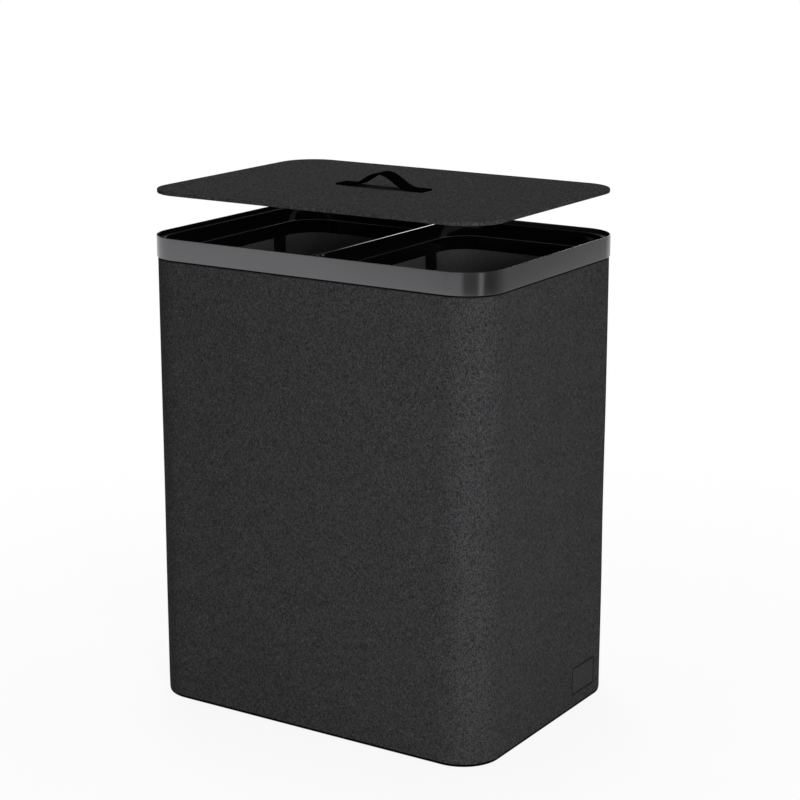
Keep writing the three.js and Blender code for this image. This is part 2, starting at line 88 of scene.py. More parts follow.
class HamperSizes(bpy.types.PropertyGroup):
    """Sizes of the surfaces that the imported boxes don't give"""

    body_corner: length("Body corner", 50 * MM, "Radius of the body's four corners")
    fabric_thick: length("Fabric thickness", 1.2 * MM, "Thickness of the body's fabric")
    fabric_hem: length("Fabric hem", 22 * MM, "How far the fabric is turned in under the body")
    fabric_fold: length("Bottom fold", 1.1 * MM, "Radius of the fabric's fold at the bottom edge")
    fabric_wave: length("Fabric unevenness", 0.3 * MM, "How far the stretched fabric rises and dips")
    band_thick: length("Band thickness", 1 * MM, "Thickness of the metal band")
    band_round: length("Band edge", 0.4 * MM, "Radius of the band's rolled edges")
    shelf_reach: length("Band shelf", 1.6 * MM, "How far the band's inner shelf reaches over the wall")
    shelf_thick: length("Shelf thickness", 0.8 * MM, "Thickness of the band's inner shelf")
    well_corner: length("Well corner", 48 * MM, "Radius of a well's corners at its mouth")
    well_gap: length("Collar gap", 0.9 * MM, "Gap between a bin's collar and the edge of its well")
    mouth_round: length("Well mouth", 0.6 * MM, "Radius of the rounded edge round a well")
    seat_thick: length("Seat thickness", 1.7 * MM, "Thickness of the frame's flat seat")
    skirt_thick: length("Skirt thickness", 1.8 * MM, "Thickness of a well's wall")
    skirt_draft: length("Skirt draft", 0.4 * MM, "How much a well narrows down to its ledge")
    ledge_width: length("Ledge width", 3.2 * MM, "How far the ledge under a collar reaches in")
    ledge_thick: length("Ledge thickness", 2 * MM, "Thickness of that ledge")
    flange_thick: length("Flange thickness", 1.4 * MM, "Thickness of a collar's flange")
    collar_round: length("Collar edge", 0.45 * MM, "Radius of a collar's edges")
    collar_wall_in: length("Collar wall", 4.7 * MM, "From the well's edge to the collar's wall")
    collar_wall: length("Collar wall thickness", 1.8 * MM, "Thickness of the collar's wall")
    bag_in: length("Bag offset", 3.5 * MM, "From the well's edge to the outside of the bag")
    bag_thick: length("Bag thickness", 0.9 * MM, "Thickness of the bag's cloth")
    bag_step: length("Bag step", 1.1 * MM, "How far the bag comes in under the collar's wall")
    bag_taper: length("Bag taper", 8 * MM, "How much each side of a bag draws in towards the bottom")
    bag_round: length("Bag bottom edge", 16 * MM, "Radius of a bag's bottom edge")
    bag_fold: length("Bag folds", 4.5 * MM, "Depth of the soft folds in a bag")
    webbing_width: length("Webbing width", 25 * MM, "Width of a carry handle")
    webbing_thick: length("Webbing thickness", 1.6 * MM, "Thickness of a carry handle")
    webbing_bend: length("Webbing bend", 46 * MM, "Radius at which a handle turns, at its middle")
    lid_edge: length("Lid edge", 0.9 * MM, "Radius of the lid's covered edges")
    lid_fabric: length("Lid fabric thickness", 0.8 * MM, "Thickness of the lid's fabric")
    lid_hem: length("Lid hem", 20 * MM, "How far the lid's fabric is turned in below")
    strap_thick: length("Strap thickness", 2 * MM, "Thickness of the lid's strap")
    strap_tab: length("Strap tab", 20 * MM, "Length of each flat tab of the strap")
    strap_edge: length("Strap edge", 0.55 * MM, "Radius of the strap's edges")
    peg_radius: length("Peg radius", 2.7 * MM, "Radius of the pegs under the strap's tabs")
    patch_groove: length("Patch groove", 1.3 * MM, "Width of the pressed line round the bare patch")
    patch_depth: length("Patch depth", 0.6 * MM, "Depth of that pressed line")


class HamperColours(bpy.types.PropertyGroup):
    """Colours of the hamper's finishes, in linear values"""

    fabric_dark: colour("Fabric, dark threads", (0.0115, 0.0115, 0.012), "The cover's darkest threads")
    fabric_light: colour("Fabric, light threads", (0.081, 0.081, 0.084), "The cover's lightest threads")
    lid_dark: colour("Lid, dark threads", (0.0150, 0.0150, 0.0154), "The lid's darkest threads")
    lid_light: colour("Lid, light threads", (0.081, 0.081, 0.083), "The lid's lightest threads")
    band: colour("Band", (0.125, 0.125, 0.13), "The satin metal of the band")
    moulding: colour("Moulding", (0.0035, 0.0035, 0.0037), "The black of the frame and the collars")
    bag_dark: colour("Bag, dark threads", (0.096, 0.096, 0.098), "A bag's darkest threads")
    bag_light: colour("Bag, light threads", (0.158, 0.158, 0.161), "A bag's lightest threads")
    webbing: colour("Webbing", (0.004, 0.004, 0.0042), "The carry handles' tape")
    strap: colour("Strap", (0.0012, 0.0012, 0.0013), "The strap on the lid")
    board: colour("Board", (0.24, 0.16, 0.09), "The bare fibreboard inside")
    lining: colour("Lining", (0.008, 0.008, 0.0085), "The non-woven cloth underneath")
    rubber: colour("Rubber", (0.006, 0.006, 0.0065), "The feet")
    steel: colour("Steel", (0.35, 0.36, 0.38), "The push-on washers")


class HamperStage(bpy.types.PropertyGroup):
    """The camera and the light"""

    camera_place: FloatVectorProperty(
        name="Camera place", description="Where the camera stands", default=(1.435, -2.200, 1.0548),
        unit="LENGTH",
    )
    camera_turn: number("Camera turn", 0.5702, "Turn about the vertical", subtype="ANGLE")
    camera_drop: number("Camera drop", 0.2487, "How far the camera looks down", subtype="ANGLE")
    camera_lens: number("Lens", 95.9, "Focal length in millimetres")
    ambient: number("Ambient light", 0.25, "Strength of the light from all round")
    key_power: number("Main lamp", 70, "Power that the two front lamps take their parts of, in watts")
    rear_power: number("Rear lamp", 55, "Power of the lamp behind the hamper, in watts")
    top_power: number("Top lamp", 16, "Power of the lamp overhead, in watts")
    floor_shade: share("Floor", 0.62, "How much light the floor throws back on the hamper")
    shadow_share: share("Floor shadow", 0.1, "How much of the floor's own shade the camera sees")


# Surfaces

Plan = namedtuple("Plan", "centre half radius")
Outline = namedtuple("Outline", "points normals along")
CORNER_SIGNS = np.array([(-1, 1), (-1, -1), (1, -1), (1, 1)])
QUARTER = math.pi / 2
WHOLE = 2 * math.pi


def joined(*parts):
    """Coordinates side by side on a last axis, each spread over the shape of all."""
    return np.stack(np.broadcast_arrays(*parts), axis=-1)


def closed(profile):
    return np.vstack([profile, profile[:1]])


def run_of(points):
    """The length of a line from its first point to each of its points."""
    return np.append(0, np.cumsum(np.hypot(*np.diff(points, axis=0).T)))


def plan_of(node, radius=0.0, out=0.0):
    """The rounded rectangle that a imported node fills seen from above, moved out by a distance."""
    low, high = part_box(node)
    centre = np.array([low.x + high.x, low.y + high.y]) / 2
    half = np.array([high.x - low.x, high.y - low.y]) / 2 + out
    return Plan(centre, half, radius)


def past_corners(places, plan):
    """How far each place reaches past the centre of the plan's nearest corner, along x and y."""
    return np.abs(places[..., :2] - plan.centre) - plan.half + plan.radius


def depths(places, plan):
    """How far inside a rounded rectangle each place lies.

    It is the corner's radius, less the length of what reaches past the corner's centre, less
    the larger of the two reaches where both are below zero.
    """
    past = past_corners(places, plan)
    beyond = np.maximum(past, 0)
    return plan.radius - np.hypot(beyond[..., 0], beyond[..., 1]) - np.minimum(past.max(axis=-1), 0)


def even_shares(length_m, step):
    """Evenly spaced shares of a side, an even number of steps, without its two ends."""
    count = 2 * max(1, math.ceil(length_m / step / 2))
    return np.linspace(0, 1, count + 1)[1:-1]


def outline(plan, step=12 * MM, arc_steps=24, extra=None):
    """A rounded rectangle, anticlockwise from the middle of its rear side.

    On a corner a point is the corner's centre + radius * (cos, sin) of the turn; between two
    corners it runs straight. extra gives more shares along a side, by the side's number: 0 is
    the left side, 1 the front, 2 the right and 3 the rear.
    """
    centres = plan.centre + CORNER_SIGNS * (plan.half - plan.radius)
    points, turns = [], []
    for side in range(4):
        angle = (side + 1) * QUARTER + np.linspace(0, QUARTER, arc_steps + 1)
        arc = joined(np.cos(angle), np.sin(angle))
        points.append(centres[side] + plan.radius * arc)
        turns.append(angle)
        start = points[-1][-1]
        end = centres[(side + 1) % 4] + plan.radius * arc[-1]
        shares = even_shares(np.hypot(*(end - start)), step)
        if extra and side in extra:
            shares = np.unique(np.concatenate([shares, extra[side]]).round(7))
        points.append(start + shares[:, None] * (end - start))
        turns.append(np.full(len(shares), angle[-1]))
    after_middle = len(shares) - np.searchsorted(shares, 0.5)
    points = closed(np.roll(np.concatenate(points), after_middle, axis=0))
    turns = np.roll(np.concatenate(turns), after_middle)
    turns = np.append(turns, turns[0])
    return Outline(points, joined(np.cos(turns), np.sin(turns)), run_of(points))


def rounded(corners, radii, steps=5):
    """A closed profile with its corners rounded.

    A corner's arc has its centre on the bisector at radius / sin(half the corner's angle), and
    runs from one tangent point to the other by turning one spoke into the other.
    """
    corners = np.array(corners, float)
    part = np.linspace(0, 1, steps + 1)[:, None]
    arcs = []
    for index, (corner, radius) in enumerate(zip(corners, radii)):
        if radius <= 0:
            arcs.append(corner[None])
            continue
        back = corners[index - 1] - corner
        ahead = corners[(index + 1) % len(corners)] - corner
        back, ahead = back / np.hypot(*back), ahead / np.hypot(*ahead)
        half_angle = math.acos(np.clip(back @ ahead, -1, 1)) / 2
        centre = corner + (back + ahead) / np.hypot(*(back + ahead)) * radius / math.sin(half_angle)
        tangent = radius / math.tan(half_angle)
        first, last = ((corner + spoke * tangent - centre) / radius for spoke in (back, ahead))
        sweep = math.acos(np.clip(first @ last, -1, 1))
        spokes = (np.sin((1 - part) * sweep) * first + np.sin(part * sweep) * last) / math.sin(sweep)
        arcs.append(centre + radius * spokes)
    return np.concatenate(arcs)


def refined(profile, step, heights=()):
    """The profile with points added so that none of its straight stretches is longer than a step.

    heights are more places at which a tall stretch that runs upwards gets a point.
    """
    tall = 10 * step
    pieces = []
    for start, end in zip(profile[:-1], profile[1:]):
        span = np.hypot(*(end - start))
        shares = np.linspace(0, 1, max(1, math.ceil(span / step)) + 1)[:-1]
        rise = end[1] - start[1]
        if len(heights) and rise > tall:
            more = (np.asarray(heights) - start[1]) / rise
            shares = np.unique(np.concatenate([shares, more[(more > 0) & (more < 1)]]).round(7))
        pieces.append(start + shares[:, None] * (end - start))
    return np.vstack(pieces + [profile[-1:]])


def plate_rim(edge, low, high, steps):
    """The rounded rim of a flat plate, upwards: two quarter turns of edge * (1 - sin, 1 - cos)."""
    turn = np.linspace(0, QUARTER, steps + 1)
    near, far = edge * (1 - np.sin(turn)), edge * (1 - np.cos(turn))
    return np.vstack([joined(near, low + far), joined(far, high - near)])


def flat_bar(half, thick, edge, steps, longest):
    """The section of a strip, (across, up) from its underside, with rounded edges."""
    corners = [(-half, 0), (half, 0), (half, thick), (-half, thick)]
    return refined(closed(rounded(corners, [edge] * 4, steps)), longest)


def hoop(ring, profile, shift=0.0):
    """A profile of (distance in, height) carried round an outline: point - distance * normal.

    shift moves the surface further in, by an array over (profile, outline) where it varies.
    """
    distance = profile[:, 0, None] + shift
    flat = ring.points[None] - distance[..., None] * ring.normals[None]
    points = joined(flat[..., 0], flat[..., 1], profile[:, 1, None])
    return points, joined(ring.along[None], run_of(profile)[:, None])


def disc(ring, distance, height, rows, outwards):
    """A flat face of an outline, its rings shrunk evenly: middle + share * (edge - middle)."""
    edge = ring.points - distance * ring.normals
    middle = (ring.points.min(0) + ring.points.max(0)) / 2
    shares = np.linspace(1, 0, rows + 1)
    if outwards:
        shares = shares[::-1]
    flat = middle + shares[:, None, None] * (edge - middle)[None]
    return joined(flat[..., 0], flat[..., 1], height), flat


def turned(profile, middle, steps):
    """A profile of (radius, height) turned round: middle + radius * (cos, sin) of the turn."""
    turn = np.linspace(0, WHOLE, steps + 1)
    radius, height = np.array(profile).T[..., None]
    grid = joined(middle[0] + radius * np.cos(turn), middle[1] + radius * np.sin(turn), height)
    return grid, grid[..., :2]


def end_caps(grid, uv):
    """Flat ends for a section carried along a path: each end's rim drawn to its middle."""
    for column in (0, -1):
        rim = grid[:, column]
        centre = np.broadcast_to(rim.mean(axis=0), rim.shape)
        yield np.stack([rim, centre] if column else [centre, rim]), uv[:2, column][:, None]


def smoothstep(value, start=0.0, end=1.0):
    part = np.clip((value - start) / (end - start), 0, 1)
    return part * part * (3 - 2 * part)


def waves(across, up, seed, count, longest_up):
    """Soft unevenness, about -1 to 1: a sum of sines with whole numbers of waves round the piece."""
    chance = np.random.default_rng(seed)
    total = np.zeros(np.broadcast(across, up).shape)
    for _ in range(count):
        turns = chance.integers(2, 12)
        rise = chance.uniform(-3, 3) / longest_up
        size = chance.uniform(0.4, 1)
        total += size * np.sin(WHOLE * (turns * across + rise * up + chance.uniform()))
    return total / math.sqrt(count)


def surface(name, patches, sharp=math.radians(38), drop=None):
    """One mesh from grids of points, each (rows, columns, 3) with its (rows, columns, 2) map.

    A face joins a point, the next along its row and the two above them. Seams, poles and the
    edges that two grids share are merged, and a shell that turned out inside out is flipped.
    drop picks the merged vertices whose shared faces go.
    """
    points, uvs, quads, offset = [], [], [], 0
    for grid, uv in patches:
        rows, columns = grid.shape[:2]
        index = offset + np.arange(rows * columns).reshape(rows, columns)
        near, far = index[:-1], index[1:]
        quads.append(joined(near[:, :-1], near[:, 1:], far[:, 1:], far[:, :-1]).reshape(-1, 4))
        points.append(grid.reshape(-1, 3))
        uvs.append(np.broadcast_to(uv, grid.shape[:2] + (2,)).reshape(-1, 2))
        offset += rows * columns
    points, uvs, quads = (np.concatenate(part) for part in (points, uvs, quads))
    mesh = bpy.data.meshes.new(name)
    mesh.vertices.add(len(points))
    mesh.vertices.foreach_set("co", points.ravel())
    mesh.loops.add(quads.size)
    mesh.loops.foreach_set("vertex_index", quads.ravel())
    mesh.polygons.add(len(quads))
    mesh.polygons.foreach_set("loop_start", np.arange(0, quads.size, 4))
    mesh.update(calc_edges=True)
    mesh.uv_layers.new(name="cloth").data.foreach_set("uv", uvs[quads.ravel()].ravel())
    build = bmesh.new()
    build.from_mesh(mesh)
    bmesh.ops.remove_doubles(build, verts=build.verts, dist=MERGE)
    if drop:
        shared = [face for face in build.faces if all(drop(vertex.co) for vertex in face.verts)]
        bmesh.ops.delete(build, geom=shared, context="FACES")
    if build.calc_volume(signed=True) < 0:
        bmesh.ops.reverse_faces(build, faces=build.faces)
    build.to_mesh(mesh)
    build.free()
    mesh.shade_smooth()
    mesh.set_sharp_from_angle(angle=sharp)
    made = bpy.data.objects.new(name, mesh)
    bpy.context.scene.collection.objects.link(made)
    return made


def vertices(made):
    places = np.empty(len(made.data.vertices) * 3)
    made.data.vertices.foreach_get("co", places)
    return places.reshape(-1, 3)


def store(made, name, value):
    """Stores a number for each vertex, which a material can read."""
    made.data.attributes.new(name, "FLOAT", "POINT").data.foreach_set("value", value.astype(np.float32))


def dress(made, finish, body, slot, *nodes):
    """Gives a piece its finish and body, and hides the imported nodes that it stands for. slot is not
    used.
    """
    made.data.materials.clear()
    made.data.materials.append(finish_named(finish))
    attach(made, body)
    if nodes:
        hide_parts(*nodes)


def coat(finish, *nodes):
    """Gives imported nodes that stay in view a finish."""
    for node in nodes:
        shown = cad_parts[node]
        shown.data.materials.clear()
        shown.data.materials.append(finish_named(finish))


# Materials

SPECULAR = "Specular IOR Level"
WHITE = (1, 1, 1, 1)


def feed(tree, socket, value):
    """Links an input to another node's output, or sets it to a plain value."""
    if isinstance(value, bpy.types.NodeSocket):
        tree.links.new(value, socket)
    else:
        socket.default_value = value


def place(tree, kind, inputs=None, **settings):
    """Adds a node with its settings, and sets or links its inputs."""
    made = tree.nodes.new(kind)
    for name, value in settings.items():
        setattr(made, name, value)
    for socket, value in (inputs or {}).items():
        feed(tree, made.inputs[socket], value)
    return made


def compute(tree, operation, *values):
    return place(tree, "ShaderNodeMath", dict(enumerate(values)), operation=operation).outputs[0]


def plus(tree, *values):
    return compute(tree, "ADD", *values)


def times(tree, *values):
    return compute(tree, "MULTIPLY", *values)


def span_of(tree, vector):
    return place(tree, "ShaderNodeVectorMath", {0: vector}, operation="LENGTH").outputs["Value"]


def object_place(tree):
    """A place in object coordinates, and its three parts."""
    where = place(tree, "ShaderNodeTexCoord").outputs["Object"]
    return where, place(tree, "ShaderNodeSeparateXYZ", {0: where}).outputs


def stored(tree, name):
    return place(tree, "ShaderNodeAttribute", attribute_name=name).outputs["Fac"]


def spread(tree, value, low, high, to_low=0.0, to_high=1.0):
    """Stretches a value from low..high to to_low..to_high, and holds it there."""
    inputs = {"Value": value, "From Min": low, "From Max": high, "To Min": to_low, "To Max": to_high}
    return place(tree, "ShaderNodeMapRange", inputs).outputs["Result"]


def noise(tree, vector, scale, detail=2.0):
    inputs = {"Vector": vector, "Scale": scale, "Detail": detail}
    return place(tree, "ShaderNodeTexNoise", inputs).outputs["Fac"]


def blended(tree, factor, first, second, kind="FLOAT"):
    """A mix of two values or two colours."""
    *inputs, output = {"FLOAT": (0, 2, 3, 0), "RGBA": (0, 6, 7, 2)}[kind]
    values = dict(zip(inputs, (factor, first, second)))
    return place(tree, "ShaderNodeMix", values, data_type=kind).outputs[output]


def new_group(name, inputs, outputs):
    """An empty shader group, its inputs given as {name: (socket, default)}."""
    tree = bpy.data.node_groups.new(name, "ShaderNodeTree")
    for label, (kind, default) in inputs.items():
        socket = tree.interface.new_socket(label, in_out="INPUT", socket_type=kind)
        if default is not None:
            socket.default_value = default
    for label, kind in outputs.items():
        tree.interface.new_socket(label, in_out="OUTPUT", socket_type=kind)
    return tree, tree.nodes.new("NodeGroupInput").outputs, tree.nodes.new("NodeGroupOutput").inputs


def woven_cloth():
    """Plain weave. Each thread has a shade that changes along it, and the threads go over and under.

    The thread's number is the whole part of the place over the pitch. Where the two numbers add
    up to an even one the upright thread is on top, otherwise the level one. A thread's shade is
    noise at (number * thread_shift, place along it / slub).
    """
    if "woven_cloth" in bpy.data.node_groups:
        return bpy.data.node_groups["woven_cloth"]
    value, hue = "NodeSocketFloat", "NodeSocketColor"
    tree, given, result = new_group(
        "woven_cloth",
        {
            "Vector": ("NodeSocketVector", None),
            "Pitch": (value, 0.8 * MM),
            "Slub": (value, 6 * MM),
            "Clouds": (value, 0.2),
            "Dark": (hue, (0.01, 0.01, 0.01, 1)),
            "Light": (hue, (0.06, 0.06, 0.06, 1)),
        },
        {"Color": hue, "Height": value},
    )
    where = given["Vector"]
    stray_scale, stray_reach, cloud_scale, thread_shift, contrast = 60, 0.6, 28, 9.17, 1.5
    strays = compute(tree, "SUBTRACT", noise(tree, where, stray_scale, 1), 0.5)
    strays = times(tree, strays, stray_reach)
    split = place(tree, "ShaderNodeSeparateXYZ", {0: where}).outputs
    across, up = (
        plus(tree, compute(tree, "DIVIDE", split[axis], given["Pitch"]), strays) for axis in (0, 1)
    )
    upright, level = compute(tree, "FLOOR", across), compute(tree, "FLOOR", up)
    shades = []
    for own, run, stretch, layer in ((upright, split[1], 0.9, 3.1), (level, split[0], 0.5, 8.7)):
        along = compute(tree, "DIVIDE", run, times(tree, given["Slub"], stretch))
        parts = {0: times(tree, own, thread_shift), 1: along, 2: layer}
        vector = place(tree, "ShaderNodeCombineXYZ", parts).outputs[0]
        shades.append(spread(tree, noise(tree, vector, 1, 1), 0.31, 0.69))
    parity = compute(tree, "FRACT", times(tree, plus(tree, upright, level), 0.5))
    over = compute(tree, "LESS_THAN", parity, 0.25)
    shade = blended(tree, over, shades[1], shades[0])
    clouds = compute(tree, "SUBTRACT", noise(tree, where, cloud_scale, 3), 0.5)
    shade = plus(tree, shade, times(tree, clouds, given["Clouds"]))
    shade.node.use_clamp = True
    shade = compute(tree, "POWER", shade, contrast)
    humps = [times(tree, compute(tree, "FRACT", count), math.pi) for count in (across, up)]
    humps = [compute(tree, "SINE", turn) for turn in humps]
    height = times(tree, blended(tree, over, humps[1], humps[0]), spread(tree, shade, 0, 1, 0.75, 1))
    feed(tree, result["Color"], blended(tree, shade, given["Dark"], given["Light"], "RGBA"))
    feed(tree, result["Height"], height)
    return tree


def fine_grain():
    """Fine moulded or brushed grain: two noises, one stretched by the scale along each axis."""
    if "fine_grain" in bpy.data.node_groups:
        return bpy.data.node_groups["fine_grain"]
    value, vector = "NodeSocketFloat", "NodeSocketVector"
    tree, given, result = new_group(
        "fine_grain",
        {"Vector": (vector, None), "Stretch": (vector, (1, 1, 1)), "Scale": (value, 1000.0)},
        {"Height": value, "Patches": value},
    )
    factors = {0: given["Vector"], 1: given["Stretch"]}
    stretched = place(tree, "ShaderNodeVectorMath", factors, operation="MULTIPLY").outputs[0]
    feed(tree, result["Height"], noise(tree, stretched, given["Scale"], 3))
    feed(tree, result["Patches"], spread(tree, noise(tree, given["Vector"], 14, 3), 0.3, 0.7))
    return tree


def new_finish(name, plain):
    """A material with its Principled shader's uniform values set."""
    finish = bpy.data.materials.new(name)
    finish.use_nodes = True
    shader = finish.node_tree.nodes["Principled BSDF"]
    for socket, value in plain.items():
        shader.inputs[socket].default_value = value
    return finish.node_tree, shader.inputs, finish


def bump_of(tree, height, distance):
    inputs = {"Height": height, "Distance": distance, "Strength": 1.0}
    return place(tree, "ShaderNodeBump", inputs).outputs["Normal"]


def opaque(value):
    return (*value, 1)


def scaled(shade, factor):
    return opaque([factor * value for value in shade])


def cloth_finish(
    name, dark, light, pitch, slub, clouds, relief, specular, rough=(0.85, 0.95), pressed=False
):
    """A woven finish on a piece's own cloth map, which is in metres.

    Where it is pressed, the field is smoother, and painted shade darkens the line round it and the
    mesh's other painted shade lines.
    """
    tree, shader, finish = new_finish(name, {SPECULAR: specular})
    weave = place(tree, "ShaderNodeGroup", {
        "Vector": place(tree, "ShaderNodeUVMap", uv_map="cloth").outputs[0],
        "Pitch": pitch, "Slub": slub, "Clouds": clouds, "Dark": opaque(dark), "Light": opaque(light),
    }, node_tree=woven_cloth())
    color, height = weave.outputs["Color"], weave.outputs["Height"]
    if pressed:
        field = stored(tree, "pressed_field")
        even = opaque([0.5 * (a + b) for a, b in zip(dark, light)])
        color = blended(tree, times(tree, field, 0.6), color, even, "RGBA")
        # Painted shade: the cloth is taken towards a darker colour along the mesh's painted shade lines
        color = blended(tree, stored(tree, "painted_shade_line"), color, scaled(dark, 0.15), "RGBA")
        height = times(tree, height, spread(tree, field, 0, 1, 1, 0.35))
    feed(tree, shader["Base Color"], color)
    feed(tree, shader["Roughness"], spread(tree, height, 0, 1, rough[1], rough[0]))
    feed(tree, shader["Normal"], bump_of(tree, height, relief))
    return finish


def grained_finish(
    name, base, scale, relief, rough, plain, stretch=(1, 1, 1), tone=0.12, lacquer=None, matt=None
):
    """A moulded, brushed or pressed finish on object coordinates, with slow patches of tone and gloss.

    Where it is lacquered it has the lacquer's colour and is no metal. matt names the mesh's own
    value by which its polished coat is left off; such a finish also has a painted highlight, a
    paler colour on the edges that the mesh marks.
    """
    tree, shader, finish = new_finish(name, plain)
    where = place(tree, "ShaderNodeTexCoord").outputs["Object"]
    values = {"Vector": where, "Stretch": stretch, "Scale": scale}
    grain = place(tree, "ShaderNodeGroup", values, node_tree=fine_grain()).outputs
    shade = plus(tree, times(tree, grain["Patches"], 0.6), times(tree, grain["Height"], 0.4))
    color = blended(tree, shade, scaled(base, 1 - tone), scaled(base, 1 + tone), "RGBA")
    if lacquer:
        inside = stored(tree, "lacquered")
        color = blended(tree, inside, color, opaque(lacquer), "RGBA")
        feed(tree, shader["Metallic"], spread(tree, inside, 0, 1, plain["Metallic"], 0))
    if matt:
        # Painted highlight: the marked edges are painted paler than the moulding
        painted_highlight_factor = 16
        feed(tree, shader["Coat Weight"], spread(tree, stored(tree, matt), 0, 1, 1, 0))
        color = blended(tree, stored(tree, "painted_highlight_edge"), color, scaled(base, painted_highlight_factor), "RGBA")
    feed(tree, shader["Base Color"], color)
    feed(tree, shader["Roughness"], spread(tree, grain["Patches"], 0, 1, *rough))
    feed(tree, shader["Normal"], bump_of(tree, grain["Height"], relief))
    return finish


def finish_named(name):
    """One of the hamper's finishes, made when it is first asked for."""
    if name in bpy.data.materials:
        return bpy.data.materials[name]
    colours = bpy.context.scene.hamper_colours
    tape = colours.webbing
    cloths = {
        "cover_weave": dict(
            dark=colours.fabric_dark, light=colours.fabric_light, pitch=0.72 * MM, slub=5 * MM,
            clouds=0.12, relief=0.02 * MM, specular=0.04, pressed=True),
        "lid_weave": dict(
            dark=colours.lid_dark, light=colours.lid_light, pitch=0.9 * MM, slub=5 * MM,
            clouds=0.1, relief=0.1 * MM, specular=0.0),
        "bag_weave": dict(
            dark=colours.bag_dark, light=colours.bag_light, pitch=0.5 * MM, slub=5 * MM,
            clouds=0.3, relief=0.08 * MM, specular=0.35, rough=(0.6, 0.8)),
        "tape_weave": dict(
            dark=[0.6 * value for value in tape], light=[1.6 * value for value in tape],
            pitch=1.3 * MM, slub=8 * MM, clouds=0.2, relief=0.4 * MM, specular=0.3, rough=(0.65, 0.85)),
    }
    grains = {
        "band_satin": dict(
            base=colours.band, scale=2500, relief=0.01 * MM, rough=(0.18, 0.22),
            plain={"Metallic": 0.9}, stretch=(0.15, 0.15, 1), tone=0.05, lacquer=colours.moulding),
        "moulded_black": dict(
            base=colours.moulding, scale=900, relief=0.01 * MM, rough=(0.5, 0.6),
            plain={SPECULAR: 0.05, "Coat Roughness": 0.06}, matt="matt_seat"),
        "strap_moulding": dict(
            base=colours.strap, scale=1400, relief=0.06 * MM, rough=(0.9, 1.0),
            plain={SPECULAR: 0.0}),
        "bare_board": dict(
            base=colours.board, scale=700, relief=0.08 * MM, rough=(0.8, 0.95),
            plain={SPECULAR: 0.3}, tone=0.25),
        "nonwoven": dict(
            base=colours.lining, scale=1100, relief=0.15 * MM, rough=(0.85, 0.95),
            plain={SPECULAR: 0.25}, tone=0.3),
        "foot_moulding": dict(
            base=colours.rubber, scale=1200, relief=0.05 * MM, rough=(0.6, 0.75),
            plain={SPECULAR: 0.35}),
        "washer_steel": dict(
            base=colours.steel, scale=1500, relief=0.02 * MM, rough=(0.25, 0.4),
            plain={"Metallic": 1.0}, stretch=(1, 0.1, 1)),
    }
    if name in cloths:
        return cloth_finish(name, **cloths[name])
    return grained_finish(name, **grains[name])


# Pieces


class HamperOperator:
    """What the hamper's operators share"""

    bl_options = {"REGISTER", "UNDO"}

    @property
    def sizes(self):
        return bpy.context.scene.hamper_sizes


